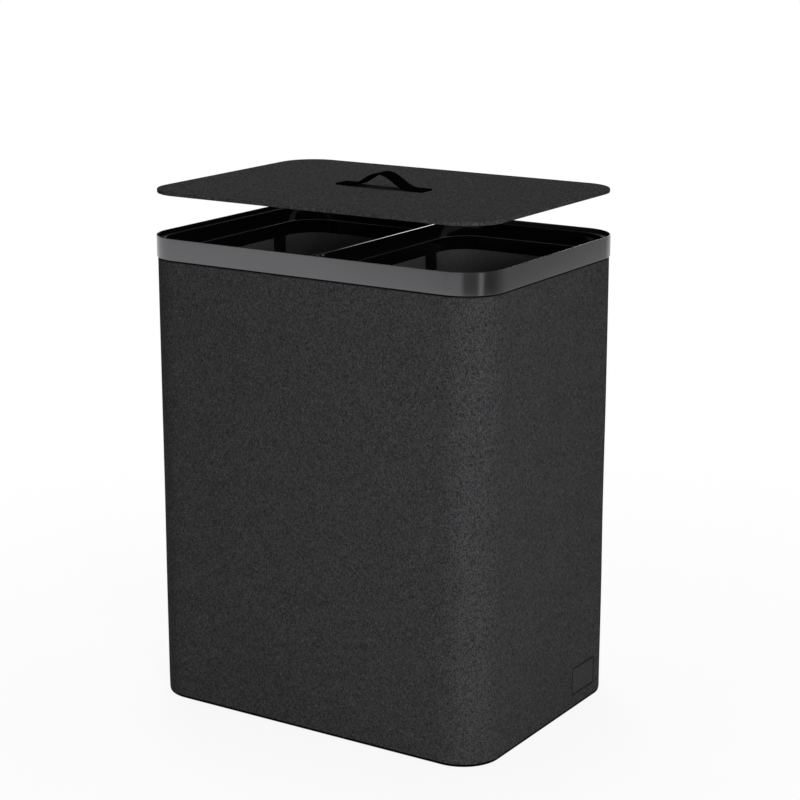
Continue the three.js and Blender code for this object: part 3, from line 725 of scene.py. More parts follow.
class HAMPER_OT_body_fabric(HamperOperator, bpy.types.Operator):
    """Builds the fabric sleeve round the body"""

    bl_idname = "hamper.body_fabric"
    bl_label = "Body fabric"

    mesh_step = 8 * MM
    fine_step = 0.8 * MM
    cut_edge = 0.3 * MM
    inner_edge = 0.2 * MM
    fold_rows = (1.15, 1.3, 1.8)  # in radii of the bottom fold
    wave_seed, wave_count = 7, 14
    settle_low = 25 * MM  # over this height from an end the waves die away
    settle_high = 30 * MM
    patch_low = (64 * MM, 18 * MM)
    patch_high = (121 * MM, 53 * MM)
    patch_corner = 3.5 * MM
    patch_sink = 0.25  # the field's share of the line's depth
    line_part = 0.7  # the line's share of the groove's width
    tuck_depth = 1.1 * MM
    tuck_reach = 3.5 * MM
    tuck_end = 8 * MM  # above the band's lower edge the fabric is back in its place
    tuck_shade = 1.5 * MM
    seam_lap = 11 * MM
    seam_rise = 0.45 * MM
    lap_edge = 1.2 * MM
    lap_fade = 3 * MM
    lap_shadow = (0.4 * MM, 0.6 * MM)  # the middle and the width of the painted shadow line along it
    lap_under = 1 * MM  # below the band's lower edge the lap is pressed flat
    stitch_half = (0.4 * MM, 0.4 * MM, 1.7 * MM)
    stitch_pitch = 4.6 * MM
    stitch_ends = (12 * MM, 8 * MM)  # bare lengths of the seam at its bottom and top

    def execute(self, context):
        sizes = self.sizes
        low, high = BODY_LOW.z, BODY_HIGH.z
        plan = plan_of("fabric_cover", sizes.body_corner)
        ring = self.ring(plan)
        rim, hem = sizes.fabric_thick, sizes.fabric_hem
        corners = [(0, low), (0, high), (rim, high), (rim, low + rim), (hem, low + rim), (hem, low)]
        cut, inner = self.cut_edge, self.inner_edge
        edges = [sizes.fabric_fold, cut, inner, inner, cut, cut]
        margin, reach = 2 * sizes.patch_groove, self.tuck_reach
        rows = np.concatenate([
            np.arange(self.patch_low[1] - margin, self.patch_high[1] + margin, self.fine_step),
            np.arange(BAND_LOW.z - 2 * reach, BAND_LOW.z + reach, reach / 8),
            low + sizes.fabric_fold * np.array(self.fold_rows),
        ])
        profile = refined(closed(rounded(corners, edges)), self.mesh_step, rows)
        made = surface("fabric_sleeve", [hoop(ring, profile, self.unevenness(ring, profile))])
        self.store_lines(made)
        dress(made, "cover_weave", "hamper_body", "melange_fabric", "fabric_cover")
        seam = surface("rear_seam_stitches", list(self.stitches(plan)))
        dress(seam, "tape_weave", "hamper_body", "melange_fabric")
        return {"FINISHED"}

    def stitches(self, plan):
        """Upright stitches along the rear lap.

        Each is an ellipsoid: middle + (a cos u sin v, b sin u sin v, c cos v).
        """
        u, v = np.linspace(0, WHOLE, 9), np.linspace(0, math.pi, 7)[:, None]
        across, out, up = self.stitch_half
        bead = joined(across * np.cos(u) * np.sin(v), out * np.sin(u) * np.sin(v), up * np.cos(v))
        rear = plan.centre[1] + plan.half[1] + self.seam_rise
        bottom, top = BODY_LOW.z + self.stitch_ends[0], BAND_LOW.z - self.stitch_ends[1]
        for height in np.arange(bottom, top, self.stitch_pitch):
            grid = bead + (self.seam_lap / 2, rear, height)
            yield grid, grid[..., ::2]

    def ring(self, plan):
        """The sleeve's outline, with close points at the patch and at the seam."""
        straight = 2 * (plan.half - plan.radius)
        margin, lap_margin = 2 * self.sizes.patch_groove, 2 * MM
        fine_y = np.arange(self.patch_low[0] - margin, self.patch_high[0] + margin, self.fine_step)
        fine_x = np.arange(-lap_margin, self.seam_lap + lap_margin, self.fine_step / 2)
        extra = {2: 0.5 + fine_y / straight[1], 3: 0.5 + fine_x / straight[0]}
        return outline(plan, self.mesh_step, 20, extra)

    def unevenness(self, ring, profile):
        """How far in each point lies: slow waves, the lap of the rear seam and the pressed line."""
        sizes, bottom, band = self.sizes, BODY_LOW.z, BAND_LOW.z
        outside = (profile[:, 0] < sizes.fabric_thick / 2)[:, None]
        height = profile[:, 1, None]
        along, whole = ring.along[None], ring.along[-1]
        settled = smoothstep(height, bottom, bottom + self.settle_low)
        settled = settled * (1 - smoothstep(height, band - self.settle_high, band))
        wave = waves(along / whole, height, self.wave_seed, self.wave_count, BODY_HIGH.z)
        wave = sizes.fabric_wave * wave * settled
        to_end = whole - along
        lap = smoothstep(to_end, 0, self.lap_edge)
        lap = lap * (1 - smoothstep(to_end, self.seam_lap, self.seam_lap + self.lap_fade))
        lap = -self.seam_rise * lap * (height < band - self.lap_under)
        tuck = smoothstep(height, band - self.tuck_reach, band - self.tuck_shade)
        tuck = tuck - smoothstep(height, band + self.tuck_end / 4, band + self.tuck_end)
        right = ring.points[None, :, 0] > 0.99 * ring.points[:, 0].max()
        line, field = self.pressed(ring.points[None, :, 1], height)
        patch = right * sizes.patch_depth * (line + self.patch_sink * field)
        shift = wave * (1 - right * field) + lap + self.tuck_depth * tuck + patch
        return np.where(outside, shift, 0)

    def pressed(self, y, height):
        """How much a place on the right side lies on the pressed line, and how much inside it.

        With the place's depth inside the patch, the line is exp(-(depth / line width)^2) and
        the field a smooth step of the depth.
        """
        width = self.sizes.patch_groove
        low, high = np.array(self.patch_low), np.array(self.patch_high)
        depth = depths(joined(y, height), Plan((low + high) / 2, (high - low) / 2, self.patch_corner))
        return np.exp(-((depth / (self.line_part * width)) ** 2)), smoothstep(depth, 0, width)

    def store_lines(self, made):
        """Stores the painted shade lines and the pressed field on the mesh for its material.

        Shade is painted into the cloth's colour along the pressed line round the patch, where the
        cloth is pinched under the band, in its fold at the bottom and along the edge of the rear lap.
        """
        x, y, z = vertices(made).T
        right = x > x.max() - self.sizes.fabric_thick
        line, field = self.pressed(y, z)
        # Painted shade: the dark lines under the band's edge, in the bottom fold and along the lap's
        # edge stand for shade
        band_shade = smoothstep(z, BAND_LOW.z - 1.8 * self.tuck_shade, BAND_LOW.z - self.tuck_shade)
        fold_shade = 1 - smoothstep((z - z.min()) / self.sizes.fabric_fold, 0.7, 1.3)
        middle, width = self.lap_shadow
        lap_shadow = (y > 0) * np.exp(-((x - middle) / width) ** 2)
        store(made, "painted_shade_line", np.maximum.reduce([right * line, band_shade, fold_shade, 0.8 * lap_shadow]))
        store(made, "pressed_field", right * field)


class HAMPER_OT_top_band(HamperOperator, bpy.types.Operator):
    """Builds the satin metal band round the rim"""

    bl_idname = "hamper.top_band"
    bl_label = "Top band"

    joint_width = 0.9 * MM
    joint_depth = 0.35 * MM
    shelf_root = 0.1 * MM  # radius where the shelf leaves the band
    shelf_edge = 0.2 * MM

    def execute(self, context):
        sizes = self.sizes
        low, high = BAND_LOW.z, BAND_HIGH.z
        plan = plan_of("top_band", sizes.body_corner + BAND_HIGH.x - BODY_HIGH.x)
        inner = sizes.band_thick
        shelf_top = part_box("insert_frame")[1].z - sizes.seat_thick - SEAT_GAP
        shelf_bottom = shelf_top - sizes.shelf_thick
        shelf_in = plan.half[0] - BODY_HIGH.x + sizes.shelf_reach
        corners = [
            (0, low), (0, high), (inner, high), (inner, shelf_top),
            (shelf_in, shelf_top), (shelf_in, shelf_bottom), (inner, shelf_bottom), (inner, low),
        ]
        edge, root, lip = sizes.band_round, self.shelf_root, self.shelf_edge
        profile = closed(rounded(corners, [edge, edge, edge, root, lip, lip, root, edge]))
        straight = 2 * (plan.half[0] - plan.radius)
        fine = {3: 0.5 + self.joint_width * np.linspace(-1, 1, 9) / straight}
        ring = outline(plan, arc_steps=40, extra=fine)
        outside = (profile[:, 0] < self.joint_depth)[:, None]
        shift = outside * self.joint_depth * self.joint(ring.points)[None]
        made = surface("rim_band", [hoop(ring, profile, shift)])
        self.store_lacquer(made, plan)
        dress(made, "band_satin", "hamper_body", "satin_metal", "top_band")
        return {"FINISHED"}

    def joint(self, places):
        """How deep a place lies in the line where the band's ends meet at the rear, from 0 to 1."""
        return (places[:, 1] > 0) * np.exp(-((2 * places[:, 0] / self.joint_width) ** 2))

    def store_lacquer(self, made, plan):
        """Stores where the band is lacquered: over its top edge, inside it, and in its joint."""
        places = vertices(made)
        thick, edge = self.sizes.band_thick, self.sizes.band_round
        value = smoothstep(depths(places, plan), 0.3 * thick, 0.6 * thick)
        from_top = places[:, 2].max() - places[:, 2]
        value = np.maximum(value, 1 - smoothstep(from_top, 0.5 * edge, edge))
        store(made, "lacquered", np.maximum(value, self.joint(places)))


class HAMPER_OT_insert_frame(HamperOperator, bpy.types.Operator):
    """Builds the moulded frame with its seat, wells, divider and ledges"""

    bl_idname = "hamper.insert_frame"
    bl_label = "Insert frame"

    chamfer = 0.3 * MM
    foot_in = 0.1 * MM  # where the fillet at the foot of a well's wall starts
    foot_up = 0.5 * MM
    polish_reach = (3, 6)  # half widths of the divider over which its top's polish fades
    corner_shares = (0.05, 0.3)  # of a corner's radius, over which the walls turn polished

    def execute(self, context):
        sizes, cut = self.sizes, self.chamfer
        low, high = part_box("insert_frame")
        seat = plan_of("insert_frame", sizes.body_corner - (BODY_HIGH.x - high.x))
        well = plan_of("bin_right_collar", sizes.well_corner, sizes.well_gap)
        ring = outline(well)
        mouth, draft = sizes.mouth_round, sizes.skirt_draft
        ledge, skirt = sizes.ledge_width, -sizes.skirt_thick
        seat_bottom = high.z - sizes.seat_thick
        ledge_top = low.z + sizes.ledge_thick
        turn = np.linspace(0, QUARTER, 9)
        profile = np.vstack([
            (-mouth - cut, high.z),
            joined(-mouth + mouth * np.sin(turn), high.z - mouth + mouth * np.cos(turn)),
            [(draft - self.foot_in, ledge_top + self.foot_up), (draft + cut, ledge_top)],
            [(ledge - cut, ledge_top), (ledge, ledge_top - cut)],
            [(ledge, low.z + cut), (ledge - cut, low.z)],
            [(skirt, low.z), (skirt, seat_bottom)],
        ])
        grid, uv = hoop(ring, profile)
        edge = self.seat_edge(seat, well, ring).T
        top, bottom = (joined(*edge, height)[None] for height in (high.z, seat_bottom))
        grid = np.concatenate([top, grid, bottom, top])
        uv = np.concatenate([uv[:1], uv, uv[-1:], uv[:1]])
        grid[..., 0] = np.maximum(grid[..., 0], 0)
        halves = [(grid, uv), (grid[:, ::-1] * (-1, 1, 1), uv)]
        made = surface("insert_moulding", halves, drop=lambda point: abs(point.x) < 1e-6)
        self.store_matt(made, high.z, well)
        dress(made, "moulded_black", "hamper_body", "gloss_black", "insert_frame")
        return {"FINISHED"}

    def store_matt(self, made, seat_top, well):
        """Stores where the moulding is matt. The divider's top and the wells' corners are polished.

        A place is at a corner where both its distances from the well's middle reach past the
        straight sides, by a share of the corner's radius.
        """
        places = np.abs(vertices(made))
        x, _, z = places.T
        divider = well.centre[0] - well.half[0]
        mouth = self.sizes.mouth_round
        start, end = self.polish_reach
        seat = (z > seat_top - 0.3 * mouth) * smoothstep(x, start * divider, end * divider)
        past = past_corners(places, well).min(axis=1) / well.radius
        at_corner = smoothstep(past, *self.corner_shares)
        walls = (z < seat_top - 0.9 * mouth) * (1 - at_corner)
        store(made, "matt_seat", np.maximum(seat, walls))

    def seat_edge(self, seat, well, ring):
        """The right half's edge, one point for each point of the well's outline.

        Beside a straight stretch it is the point straight out on the edge. At an outer corner
        it is the seat corner's centre + radius * normal. At the divider it is where the ray from
        the well corner's centre meets the middle line or the edge, and the nearest ray is moved
        into the corner between the two.
        """
        normal = ring.normals
        centres = well.centre + np.sign(ring.points - well.centre) * (well.half - well.radius)
        arc = (np.abs(normal) > 1e-6).all(axis=1)
        inner = normal[:, 0] < 0
        reach = np.abs(normal) + 1e-9
        to_middle = centres[:, 0] / reach[:, 0]
        to_edge = (seat.half[1] - np.abs(centres[:, 1])) / reach[:, 1]
        rays = centres + np.minimum(to_middle, to_edge)[:, None] * normal
        edge = np.sign(ring.points) * (seat.half - seat.radius) + seat.radius * normal
        edge[arc & inner] = rays[arc & inner]
        level = ~arc & (np.abs(normal[:, 0]) > 0.5)
        edge[level] = joined(np.where(inner[level], 0, seat.half[0]), ring.points[level, 1])
        upright = ~arc & ~level
        edge[upright] = joined(ring.points[upright, 0], np.sign(normal[upright, 1]) * seat.half[1])
        for sign in (-1, 1):
            corner = np.array([0, sign * seat.half[1]])
            gap = np.where(inner & arc, np.hypot(*(edge - corner).T), np.inf)
            edge[gap.argmin()] = corner
        return edge


class HAMPER_OT_bins(HamperOperator, bpy.types.Operator):
    """Builds the two bins: collars, bags, floor pads and carry handles"""

    bl_idname = "hamper.bins"
    bl_label = "Bins"

    # the height of a collar's inner top edge that gets a painted highlight
    painted_highlight_reach = 1.1 * MM
    hem_drop = 1 * MM  # the bag's straight hem goes this far below the collar
    step_drop = 4 * MM  # and has come in to its upper wall by here
    handle_drop = 126 * MM  # the handles lie on flat walls as far down as this
    folds_free = 160 * MM  # and below this their walls fold as the others do
    fold_turns = (4, 7, 9, 13)
    fold_start = (4 * MM, 70 * MM)  # below the collar the folds come up between these
    fold_end = 90 * MM  # and they die away over this height above the bag's bottom
    fold_mean = 0.55
    pad_edge = 0.8 * MM
    pad_dip = 0.25 * MM
    webbing_edge = 0.7 * MM
    webbing_lean = 3 * MM
    lean_start = 30 * MM

    def execute(self, context):
        for side in SIDES:
            self.collar(side)
            self.bag(side)
            self.floor_pad(side)
            for wall in ("outer", "inner"):
                self.handle(side, wall)
        return {"FINISHED"}

    def well(self, side):
        return plan_of(f"bin_{side}_collar", self.sizes.well_corner, self.sizes.well_gap)

    def collar(self, side):
        """An angle in section: a flange that hangs on the ledge and a wall below it."""
        sizes, well, node = self.sizes, self.well(side), f"bin_{side}_collar"
        low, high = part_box(node)
        flange_bottom = high.z - sizes.flange_thick
        gap, wall = sizes.well_gap, sizes.collar_wall_in
        inner = wall + sizes.collar_wall
        corners = [
            (gap, flange_bottom), (gap, high.z), (inner, high.z), (inner, high.z - self.painted_highlight_reach),
            (inner, low.z), (wall, low.z), (wall, flange_bottom),
        ]
        edge, hidden, under, root = sizes.collar_round, 0.2 * MM, 0.3 * MM, 0.15 * MM
        profile = rounded(corners, [hidden, edge, edge, 0, under, under, root])
        made = surface(f"bin_{side}_rim", [hoop(outline(well), closed(profile))])
        places = vertices(made)
        # Painted highlight: the collar's inner top edge is painted paler, as if lit
        near = smoothstep(depths(places, well), inner - 2 * edge, inner - edge)
        edge_highlight = near * (1 - smoothstep(high.z - places[:, 2], 1.2 * edge, self.painted_highlight_reach))
        store(made, "painted_highlight_edge", edge_highlight)
        dress(made, "moulded_black", f"bin_{side}", "gloss_black", node)

    def bag(self, side):
        """An open cloth shell: straight under the collar, drawn in below, with soft folds."""
        sizes, node = self.sizes, f"bin_{side}_bag"
        low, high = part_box(node)
        collar_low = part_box(f"bin_{side}_collar")[0].z
        ring = outline(self.well(side), 5 * MM, 16)
        round_top = low.z + sizes.bag_round
        foot, step_in = sizes.bag_in + sizes.bag_taper, sizes.bag_in + sizes.bag_step
        turn = np.linspace(0, QUARTER, 9)[1:]
        cos, sin = np.cos(turn), np.sin(turn)
        corners = np.array([
            (sizes.bag_in, high.z), (sizes.bag_in, collar_low - self.hem_drop),
            (step_in, collar_low - self.step_drop), (step_in, collar_low - self.handle_drop),
            (foot, round_top),
        ])
        arc = joined(foot + sizes.bag_round * (1 - cos), round_top - sizes.bag_round * sin)
        outer = np.vstack([refined(corners, 7 * MM), arc])
        folds = self.folds(ring, outer, collar_low, low.z, side)
        sheets = []
        for inward in (0, sizes.bag_thick):
            skin = outer + np.array([(inward, 0)])
            skin[-len(turn):] = arc + inward * joined(cos, sin)
            grid, uv = hoop(ring, skin, folds)
            edge = grid[-1]
            middle = edge.mean(axis=0)
            floor = middle + np.linspace(1, 0, 9)[1:, None, None] * (edge - middle)
            sheets.append((np.concatenate([grid, floor]), np.concatenate([uv, floor[..., :2]])))
        sheet = [np.concatenate([outside[::-1], inside]) for outside, inside in zip(*sheets)]
        made = surface(f"bin_{side}_liner_bag", [sheet], sharp=math.radians(60))
        dress(made, "bag_weave", f"bin_{side}", "bag_cloth", node)

    def folds(self, ring, profile, collar_low, bottom, side):
        """How far in the cloth lies: soft ridges that start under the collar and fade at the floor.

        A ridge is the square of half of one plus a sine round the bag, slanted a little with the
        height. The walls that the handles hang on stay flat as far down as the handles reach.
        """
        chance = np.random.default_rng(3 + SIDES.index(side))
        around = ring.along[None] / ring.along[-1]
        height = profile[:, 1, None]
        depth = np.maximum(collar_low - height, 0)
        total = 0
        for turns in self.fold_turns:
            phase = WHOLE * (turns * around + chance.uniform(-2.5, 2.5) * depth + chance.uniform())
            total = total + (0.5 + 0.5 * np.sin(phase)) ** 2 / math.sqrt(turns)
        flat = 1 - smoothstep(depth, self.handle_drop, self.folds_free)
        handles = np.abs(ring.normals[None, :, 0]) ** 4 * flat
        fade = smoothstep(depth, *self.fold_start) * smoothstep(height, bottom, bottom + self.fold_end)
        return self.sizes.bag_fold * (total - self.fold_mean) * fade * (1 - handles)

    def floor_pad(self, side):
        """The stiffener in the bag's bottom, covered in the bag's cloth."""
        node = f"bin_{side}_floor_board"
        low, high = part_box(node)
        pad = plan_of(node)
        radius = self.sizes.well_corner - (self.well(side).half[0] - pad.half[0])
        ring = outline(pad._replace(radius=radius), 10 * MM, 12)
        edge = self.pad_edge
        rim = hoop(ring, plate_rim(edge, low.z, high.z, 4))
        below, above = disc(ring, edge, low.z, 10, True), disc(ring, edge, high.z, 10, False)
        inner = above[0][1:]
        inner[..., 2] -= self.pad_dip * (1 + waves(3 * inner[..., 0], inner[..., 1], 11, 5, 0.3))
        made = surface(f"bin_{side}_floor_pad", [below, rim, above])
        dress(made, "bag_weave", f"bin_{side}", "bag_cloth", node)

    def handle(self, side, wall):
        """A webbing loop against the bag's side: legs, two bends and a level run.

        Its section is a flat bar with rounded edges, carried along the loop with its width in
        the plane of the bag's wall; the loop leans off the wall towards its lowest stretch. The
        path holds (y, height, turn), and the width points along (cos, -sin) of the turn.
        """
        sizes, node = self.sizes, f"bin_{side}_handle_{wall}"
        low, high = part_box(node)
        half, bend = sizes.webbing_width / 2, sizes.webbing_bend
        leg_y, run_z = (high.y - low.y) / 2 - half, low.z + half
        turn = np.linspace(0, QUARTER, 15)
        quarter = np.concatenate([
            joined(leg_y, np.linspace(high.z, run_z + bend, 12), 0),
            joined(leg_y - bend * (1 - np.cos(turn)), run_z + bend * (1 - np.sin(turn)), turn)[1:],
            joined(np.linspace(leg_y - bend, 0, 10), run_z, QUARTER)[1:],
        ])
        path = np.concatenate([quarter, quarter[-2::-1] * (-1, 1, -1) + (0, 0, math.pi)])
        y, height, turn = path.T
        section = flat_bar(half, sizes.webbing_thick, self.webbing_edge, 4, 3 * MM)
        across, up = section[:, 0, None], section[:, 1, None]
        lift = smoothstep(high.z - height, self.lean_start, high.z - low.z) * self.webbing_lean
        left_of_middle = (low.x + high.x) / 2 < self.well(side).centre[0]
        start, away = (low.x, 1) if left_of_middle else (high.x, -1)
        grid = joined(
            start + away * (up + lift),
            (high.y + low.y) / 2 + y + across * np.cos(turn),
            height - across * np.sin(turn),
        )
        uv = joined(run_of(section)[:, None], run_of(path[:, :2])[None])
        made = surface(f"bin_{side}_webbing_{wall}", [(grid, uv), *end_caps(grid, uv)])
        dress(made, "tape_weave", f"bin_{side}", "webbing", node)


class HAMPER_OT_lid(HamperOperator, bpy.types.Operator):
    """Builds the lid's fabric cover and gives its liner a finish"""

    bl_idname = "hamper.lid"
    bl_label = "Lid"

    def execute(self, context):
        """Fabric over the top, round the edge and turned in below: a shell with a pocket inside."""
        sizes = self.sizes
        low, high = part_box("lid_fabric_cover")
        ring = outline(plan_of("lid_fabric_cover", sizes.body_corner - (BODY_HIGH.x - high.x)), 6 * MM)
        edge, skin, hem = sizes.lid_edge, sizes.lid_fabric, sizes.lid_hem
        pocket_low, pocket_high = low.z + skin, high.z - skin
        rim = hoop(ring, np.vstack([
            plate_rim(edge, low.z, high.z, 6)[::-1],
            [(hem, low.z), (hem, pocket_low), (skin, pocket_low), (skin, pocket_high)],
        ]))
        above, ceiling = disc(ring, edge, high.z, 36, True), disc(ring, skin, pocket_high, 6, False)
        x, y, _ = np.moveaxis(above[0], -1, 0)
        fade = smoothstep(np.linspace(1, 0, len(x))[:, None], 0, 0.2)
        above[0][..., 2] += sizes.fabric_wave * waves(2 * x, y, 5, 8, 0.5) * fade
        made = surface("lid_cover", [above, rim, ceiling])
        dress(made, "lid_weave", "lid", "melange_fabric", "lid_fabric_cover")
        coat("nonwoven", "lid_liner")
        return {"FINISHED"}


class HAMPER_OT_strap(HamperOperator, bpy.types.Operator):
    """Builds the strap handle on the lid"""

    bl_idname = "hamper.strap"
    bl_label = "Strap"

    peg_edge = 0.3 * MM

    def execute(self, context):
        """Two tabs and an arch. The underside's height is rise * (1 + cos(pi * x / foot)) / 2."""
        sizes = self.sizes
        low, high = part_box("handle_strap")
        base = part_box("lid_fabric_cover")[1].z + SEAT_GAP
        rise = high.z - base - sizes.strap_thick
        end, half = (high.x - low.x) / 2, (high.y - low.y) / 2
        foot = end - sizes.strap_tab
        tab = np.linspace(-end, -foot, 8)[:-1]
        x = np.concatenate([tab, np.linspace(-foot, foot, 81), -tab[::-1]])
        arch, turn = np.abs(x) < foot, math.pi * x / foot
        height = np.where(arch, rise * (1 + np.cos(turn)) / 2, 0)
        slope = np.where(arch, -rise * math.pi / foot * np.sin(turn) / 2, 0)
        steep = np.hypot(1, slope)
        section = flat_bar(half, sizes.strap_thick, sizes.strap_edge, 5, 2.5 * MM)
        up = section[:, 1, None]
        grid = joined(x - up * slope / steep, section[:, 0, None], base + height + up / steep)
        uv = joined(run_of(section)[:, None], run_of(joined(x, height))[None])
        pegs = self.pegs(low.z, base + sizes.strap_thick / 2)
        made = surface("lid_strap", [(grid, uv), *end_caps(grid, uv), *pegs])
        dress(made, "strap_moulding", "lid", "strap_black", "handle_strap")
        return {"FINISHED"}

    def pegs(self, bottom, top):
        """The pegs that the washers hold."""
        wide, edge = self.sizes.peg_radius, self.peg_edge
        profile = [(0, bottom), (wide - edge, bottom), (wide, bottom + edge), (wide, top), (0, top)]
        for side in SIDES:
            for row in ROWS:
                yield turned(profile, plan_of(f"strap_washer_{side}_{row}").centre, 24)


class HAMPER_OT_feet(HamperOperator, bpy.types.Operator):
    """Builds the four push-in feet"""

    bl_idname = "hamper.feet"
    bl_label = "Feet"

    pad_thick = 1.8 * MM
    pad_round = 0.6 * MM
    stem = 3.7 * MM
    head = 5.2 * MM
    head_height = 4 * MM
    tip = 2.4 * MM

    def execute(self, context):
        """A turned profile: a pad, a stem through the floor board and a head spread above it."""
        for node in (f"foot_{row}_{side}" for row in ROWS for side in SIDES):
            low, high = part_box(node)
            plan = plan_of(node)
            pad, pad_top, head_low = plan.half[0], low.z + self.pad_thick, high.z - self.head_height
            corners = [(0, low.z), (pad, low.z), (pad, pad_top), (0, pad_top)]
            profile = np.vstack([
                rounded(corners, [0, self.pad_round, self.pad_round, 0])[:-1],
                (self.stem, pad_top), (self.stem, head_low), (self.head, head_low), (self.tip, high.z),
                (0, high.z),
            ])
            made = surface(f"{node}_rubber", [turned(profile, plan.centre, 40)])
            dress(made, "foot_moulding", "hamper_body", "foot_rubber", node)
        return {"FINISHED"}


class HAMPER_OT_inner_pieces(HamperOperator, bpy.types.Operator):
    """Gives the boards, battens, linings and washers inside their finishes"""

    bl_idname = "hamper.inner_pieces"
    bl_label = "Inner pieces"

    def execute(self, context):
        battens = (f"base_batten_{side}" for side in ("rear", "left", "front", "right"))
        coat("bare_board", "shell_board", "board_joint_strip", "floor_board", "lid_board", *battens)
        coat("nonwoven", "underside_cover")
        coat("washer_steel", *(f"strap_washer_{side}_{row}" for side in SIDES for row in ROWS))
        return {"FINISHED"}


class HAMPER_OT_stage(HamperOperator, bpy.types.Operator):
    """Sets the floor, the light and the camera"""

    bl_idname = "hamper.stage"
    bl_label = "Stage"

    # a lamp's name, place, size, share of a power, that power, and whether reflections show it
    lamps = (
        ("main_lamp", (1.55, -1.37, 0.2), 0.9, 0.36, "key_power", False),
        ("high_lamp", (2.2, -1.95, 1.15), 0.5, 0.3, "key_power", False),
        ("rear_lamp", (-2.1, 2.2, 0.8), 1.4, 1, "rear_power", False),
        ("top_lamp", (-0.1, 0.2, 2.4), 0.7, 1, "top_power", True),
    )
    lamp_target = (0, 0, 0.35)
    floor_half = 6.0
    shadow_reach = (0.5, 1.3)  # from the middle of the hamper: the shadow fades between them
    room_radius = 1.7
    room_height = 1.7
    room_horizon = 0.6
    window_strength = 3.0
    # bearings in degrees and shades, below the horizon and above it
    room_shades = (
        (-180, 1.0), (-119.5, 1.0), (-115.5, 0.8), (-111, 0.62), (-98, 0.68), (-68, 0.7),
        (-59, 0.11), (-29, 0.1), (-26, 0.86), (-18, 0.86), (-15, 0.06), (10, 0.06), (32, 0.24),
        (52, 0.3), (56, 0.43), (60, 0.62), (63.5, 0.8), (95, 0.8), (135, 0.9), (180, 1.0),
    )
    sky_shades = (
        (-180, 0.05), (95, 0.05), (105, 1.0), (119, 1.0), (122.8, 0.7), (126.4, 0.18), (131, 0.1),
        (180, 0.05),
    )

    def execute(self, context):
        scene, stage = context.scene, context.scene.hamper_stage
        scene.view_settings.view_transform = "Standard"
        self.floor(stage)
        self.world(stage)
        self.reflected_room()
        for name, where, size, part, power, reflected in self.lamps:
            self.lamp(name, where, size, part * getattr(stage, power), reflected)
        data = bpy.data.cameras.new("view_camera")
        data.lens = stage.camera_lens
        camera = bpy.data.objects.new("view_camera", data)
        camera.location = stage.camera_place
        camera.rotation_euler = (QUARTER - stage.camera_drop, 0, stage.camera_turn)
        scene.collection.objects.link(camera)
        scene.camera = camera
        return {"FINISHED"}

    def floor(self, stage):
        """A pale floor. The camera sees it nearly white, with the hamper's soft shadow."""
        half, shade = self.floor_half, stage.floor_shade
        line = np.array([-half, half])
        grid = joined(line, line[:, None], 0.0)
        made = surface("floor", [(grid, grid[..., :2])])
        tree, shader, finish = new_finish("floor_paper", {"Roughness": 0.9, SPECULAR: 0.1})
        where, split = object_place(tree)
        rays = place(tree, "ShaderNodeLightPath").outputs
        seen = compute(tree, "MAXIMUM", rays["Is Camera Ray"], rays["Is Glossy Ray"])
        tone = spread(tree, noise(tree, where, 3), 0.3, 0.7, shade, shade + 0.02)
        # Painted shadow: inside the hamper's outline the floor is painted black, as a contact shadow
        # under the hamper
        under = spread(tree, self.distance_outside(tree, split), -1 * MM, -0.2 * MM)
        feed(tree, shader["Base Color"], times(tree, compute(tree, "MAXIMUM", tone, seen), under))
        white = place(tree, "ShaderNodeEmission", {"Color": WHITE, "Strength": 1.0})
        clear = spread(tree, span_of(tree, where), *self.shadow_reach, 1 - stage.shadow_share, 1)
        factor = times(tree, seen, times(tree, clear, under))
        own = tree.nodes["Principled BSDF"].outputs[0]
        mix = place(tree, "ShaderNodeMixShader", {0: factor, 1: own, 2: white.outputs[0]})
        feed(tree, tree.nodes["Material Output"].inputs["Surface"], mix.outputs[0])
        made.data.materials.append(finish)

    def distance_outside(self, tree, split):
        """How far a place lies outside the hamper's outline seen from above: below zero inside it.

        It is the length of what reaches past the corner's centre, plus the larger of the two
        reaches where both are below zero, less the corner's radius.
        """
        body = plan_of("fabric_cover", self.sizes.body_corner)
        past = []
        for axis, half in enumerate(body.half):
            away = compute(tree, "ABSOLUTE", split[axis])
            past.append(compute(tree, "SUBTRACT", away, half - body.radius))
        beyond = {axis: compute(tree, "MAXIMUM", value, 0) for axis, value in enumerate(past)}
        reach = span_of(tree, place(tree, "ShaderNodeCombineXYZ", beyond).outputs[0])
        within = compute(tree, "MINIMUM", compute(tree, "MAXIMUM", *past), 0)
        return compute(tree, "SUBTRACT", plus(tree, reach, within), body.radius)

    def reflected_room(self):
        """The room round the hamper as its shiny parts show it: an upright cylinder.

        Only reflections see it. Dark flags stand on both sides of a bright strip, and above the
        horizon it is dark but for a window at the back.
        """
        profile = [(self.room_radius, 0), (self.room_radius, self.room_height)]
        made = surface("reflected_room", [turned(profile, (0, 0), 120)])
        finish = bpy.data.materials.new("room_shades")
        finish.use_nodes = True
        tree = finish.node_tree
        tree.nodes.clear()
        split = object_place(tree)[1]
        across = spread(tree, compute(tree, "ARCTAN2", split[1], split[0]), -math.pi, math.pi)
        room, sky = (self.ramp(tree, across, shades) for shades in (self.room_shades, self.sky_shades))
        above = spread(tree, split[2], self.room_horizon, self.room_horizon + 0.03)
        color = blended(tree, above, room, sky, "RGBA")
        strength = blended(tree, above, 1.0, self.window_strength)
        glow = place(tree, "ShaderNodeEmission", {"Color": color, "Strength": strength})
        place(tree, "ShaderNodeOutputMaterial", {"Surface": glow.outputs[0]})
        made.data.materials.append(finish)
        for sight in ("camera", "diffuse", "transmission", "shadow"):
            setattr(made, f"visible_{sight}", False)

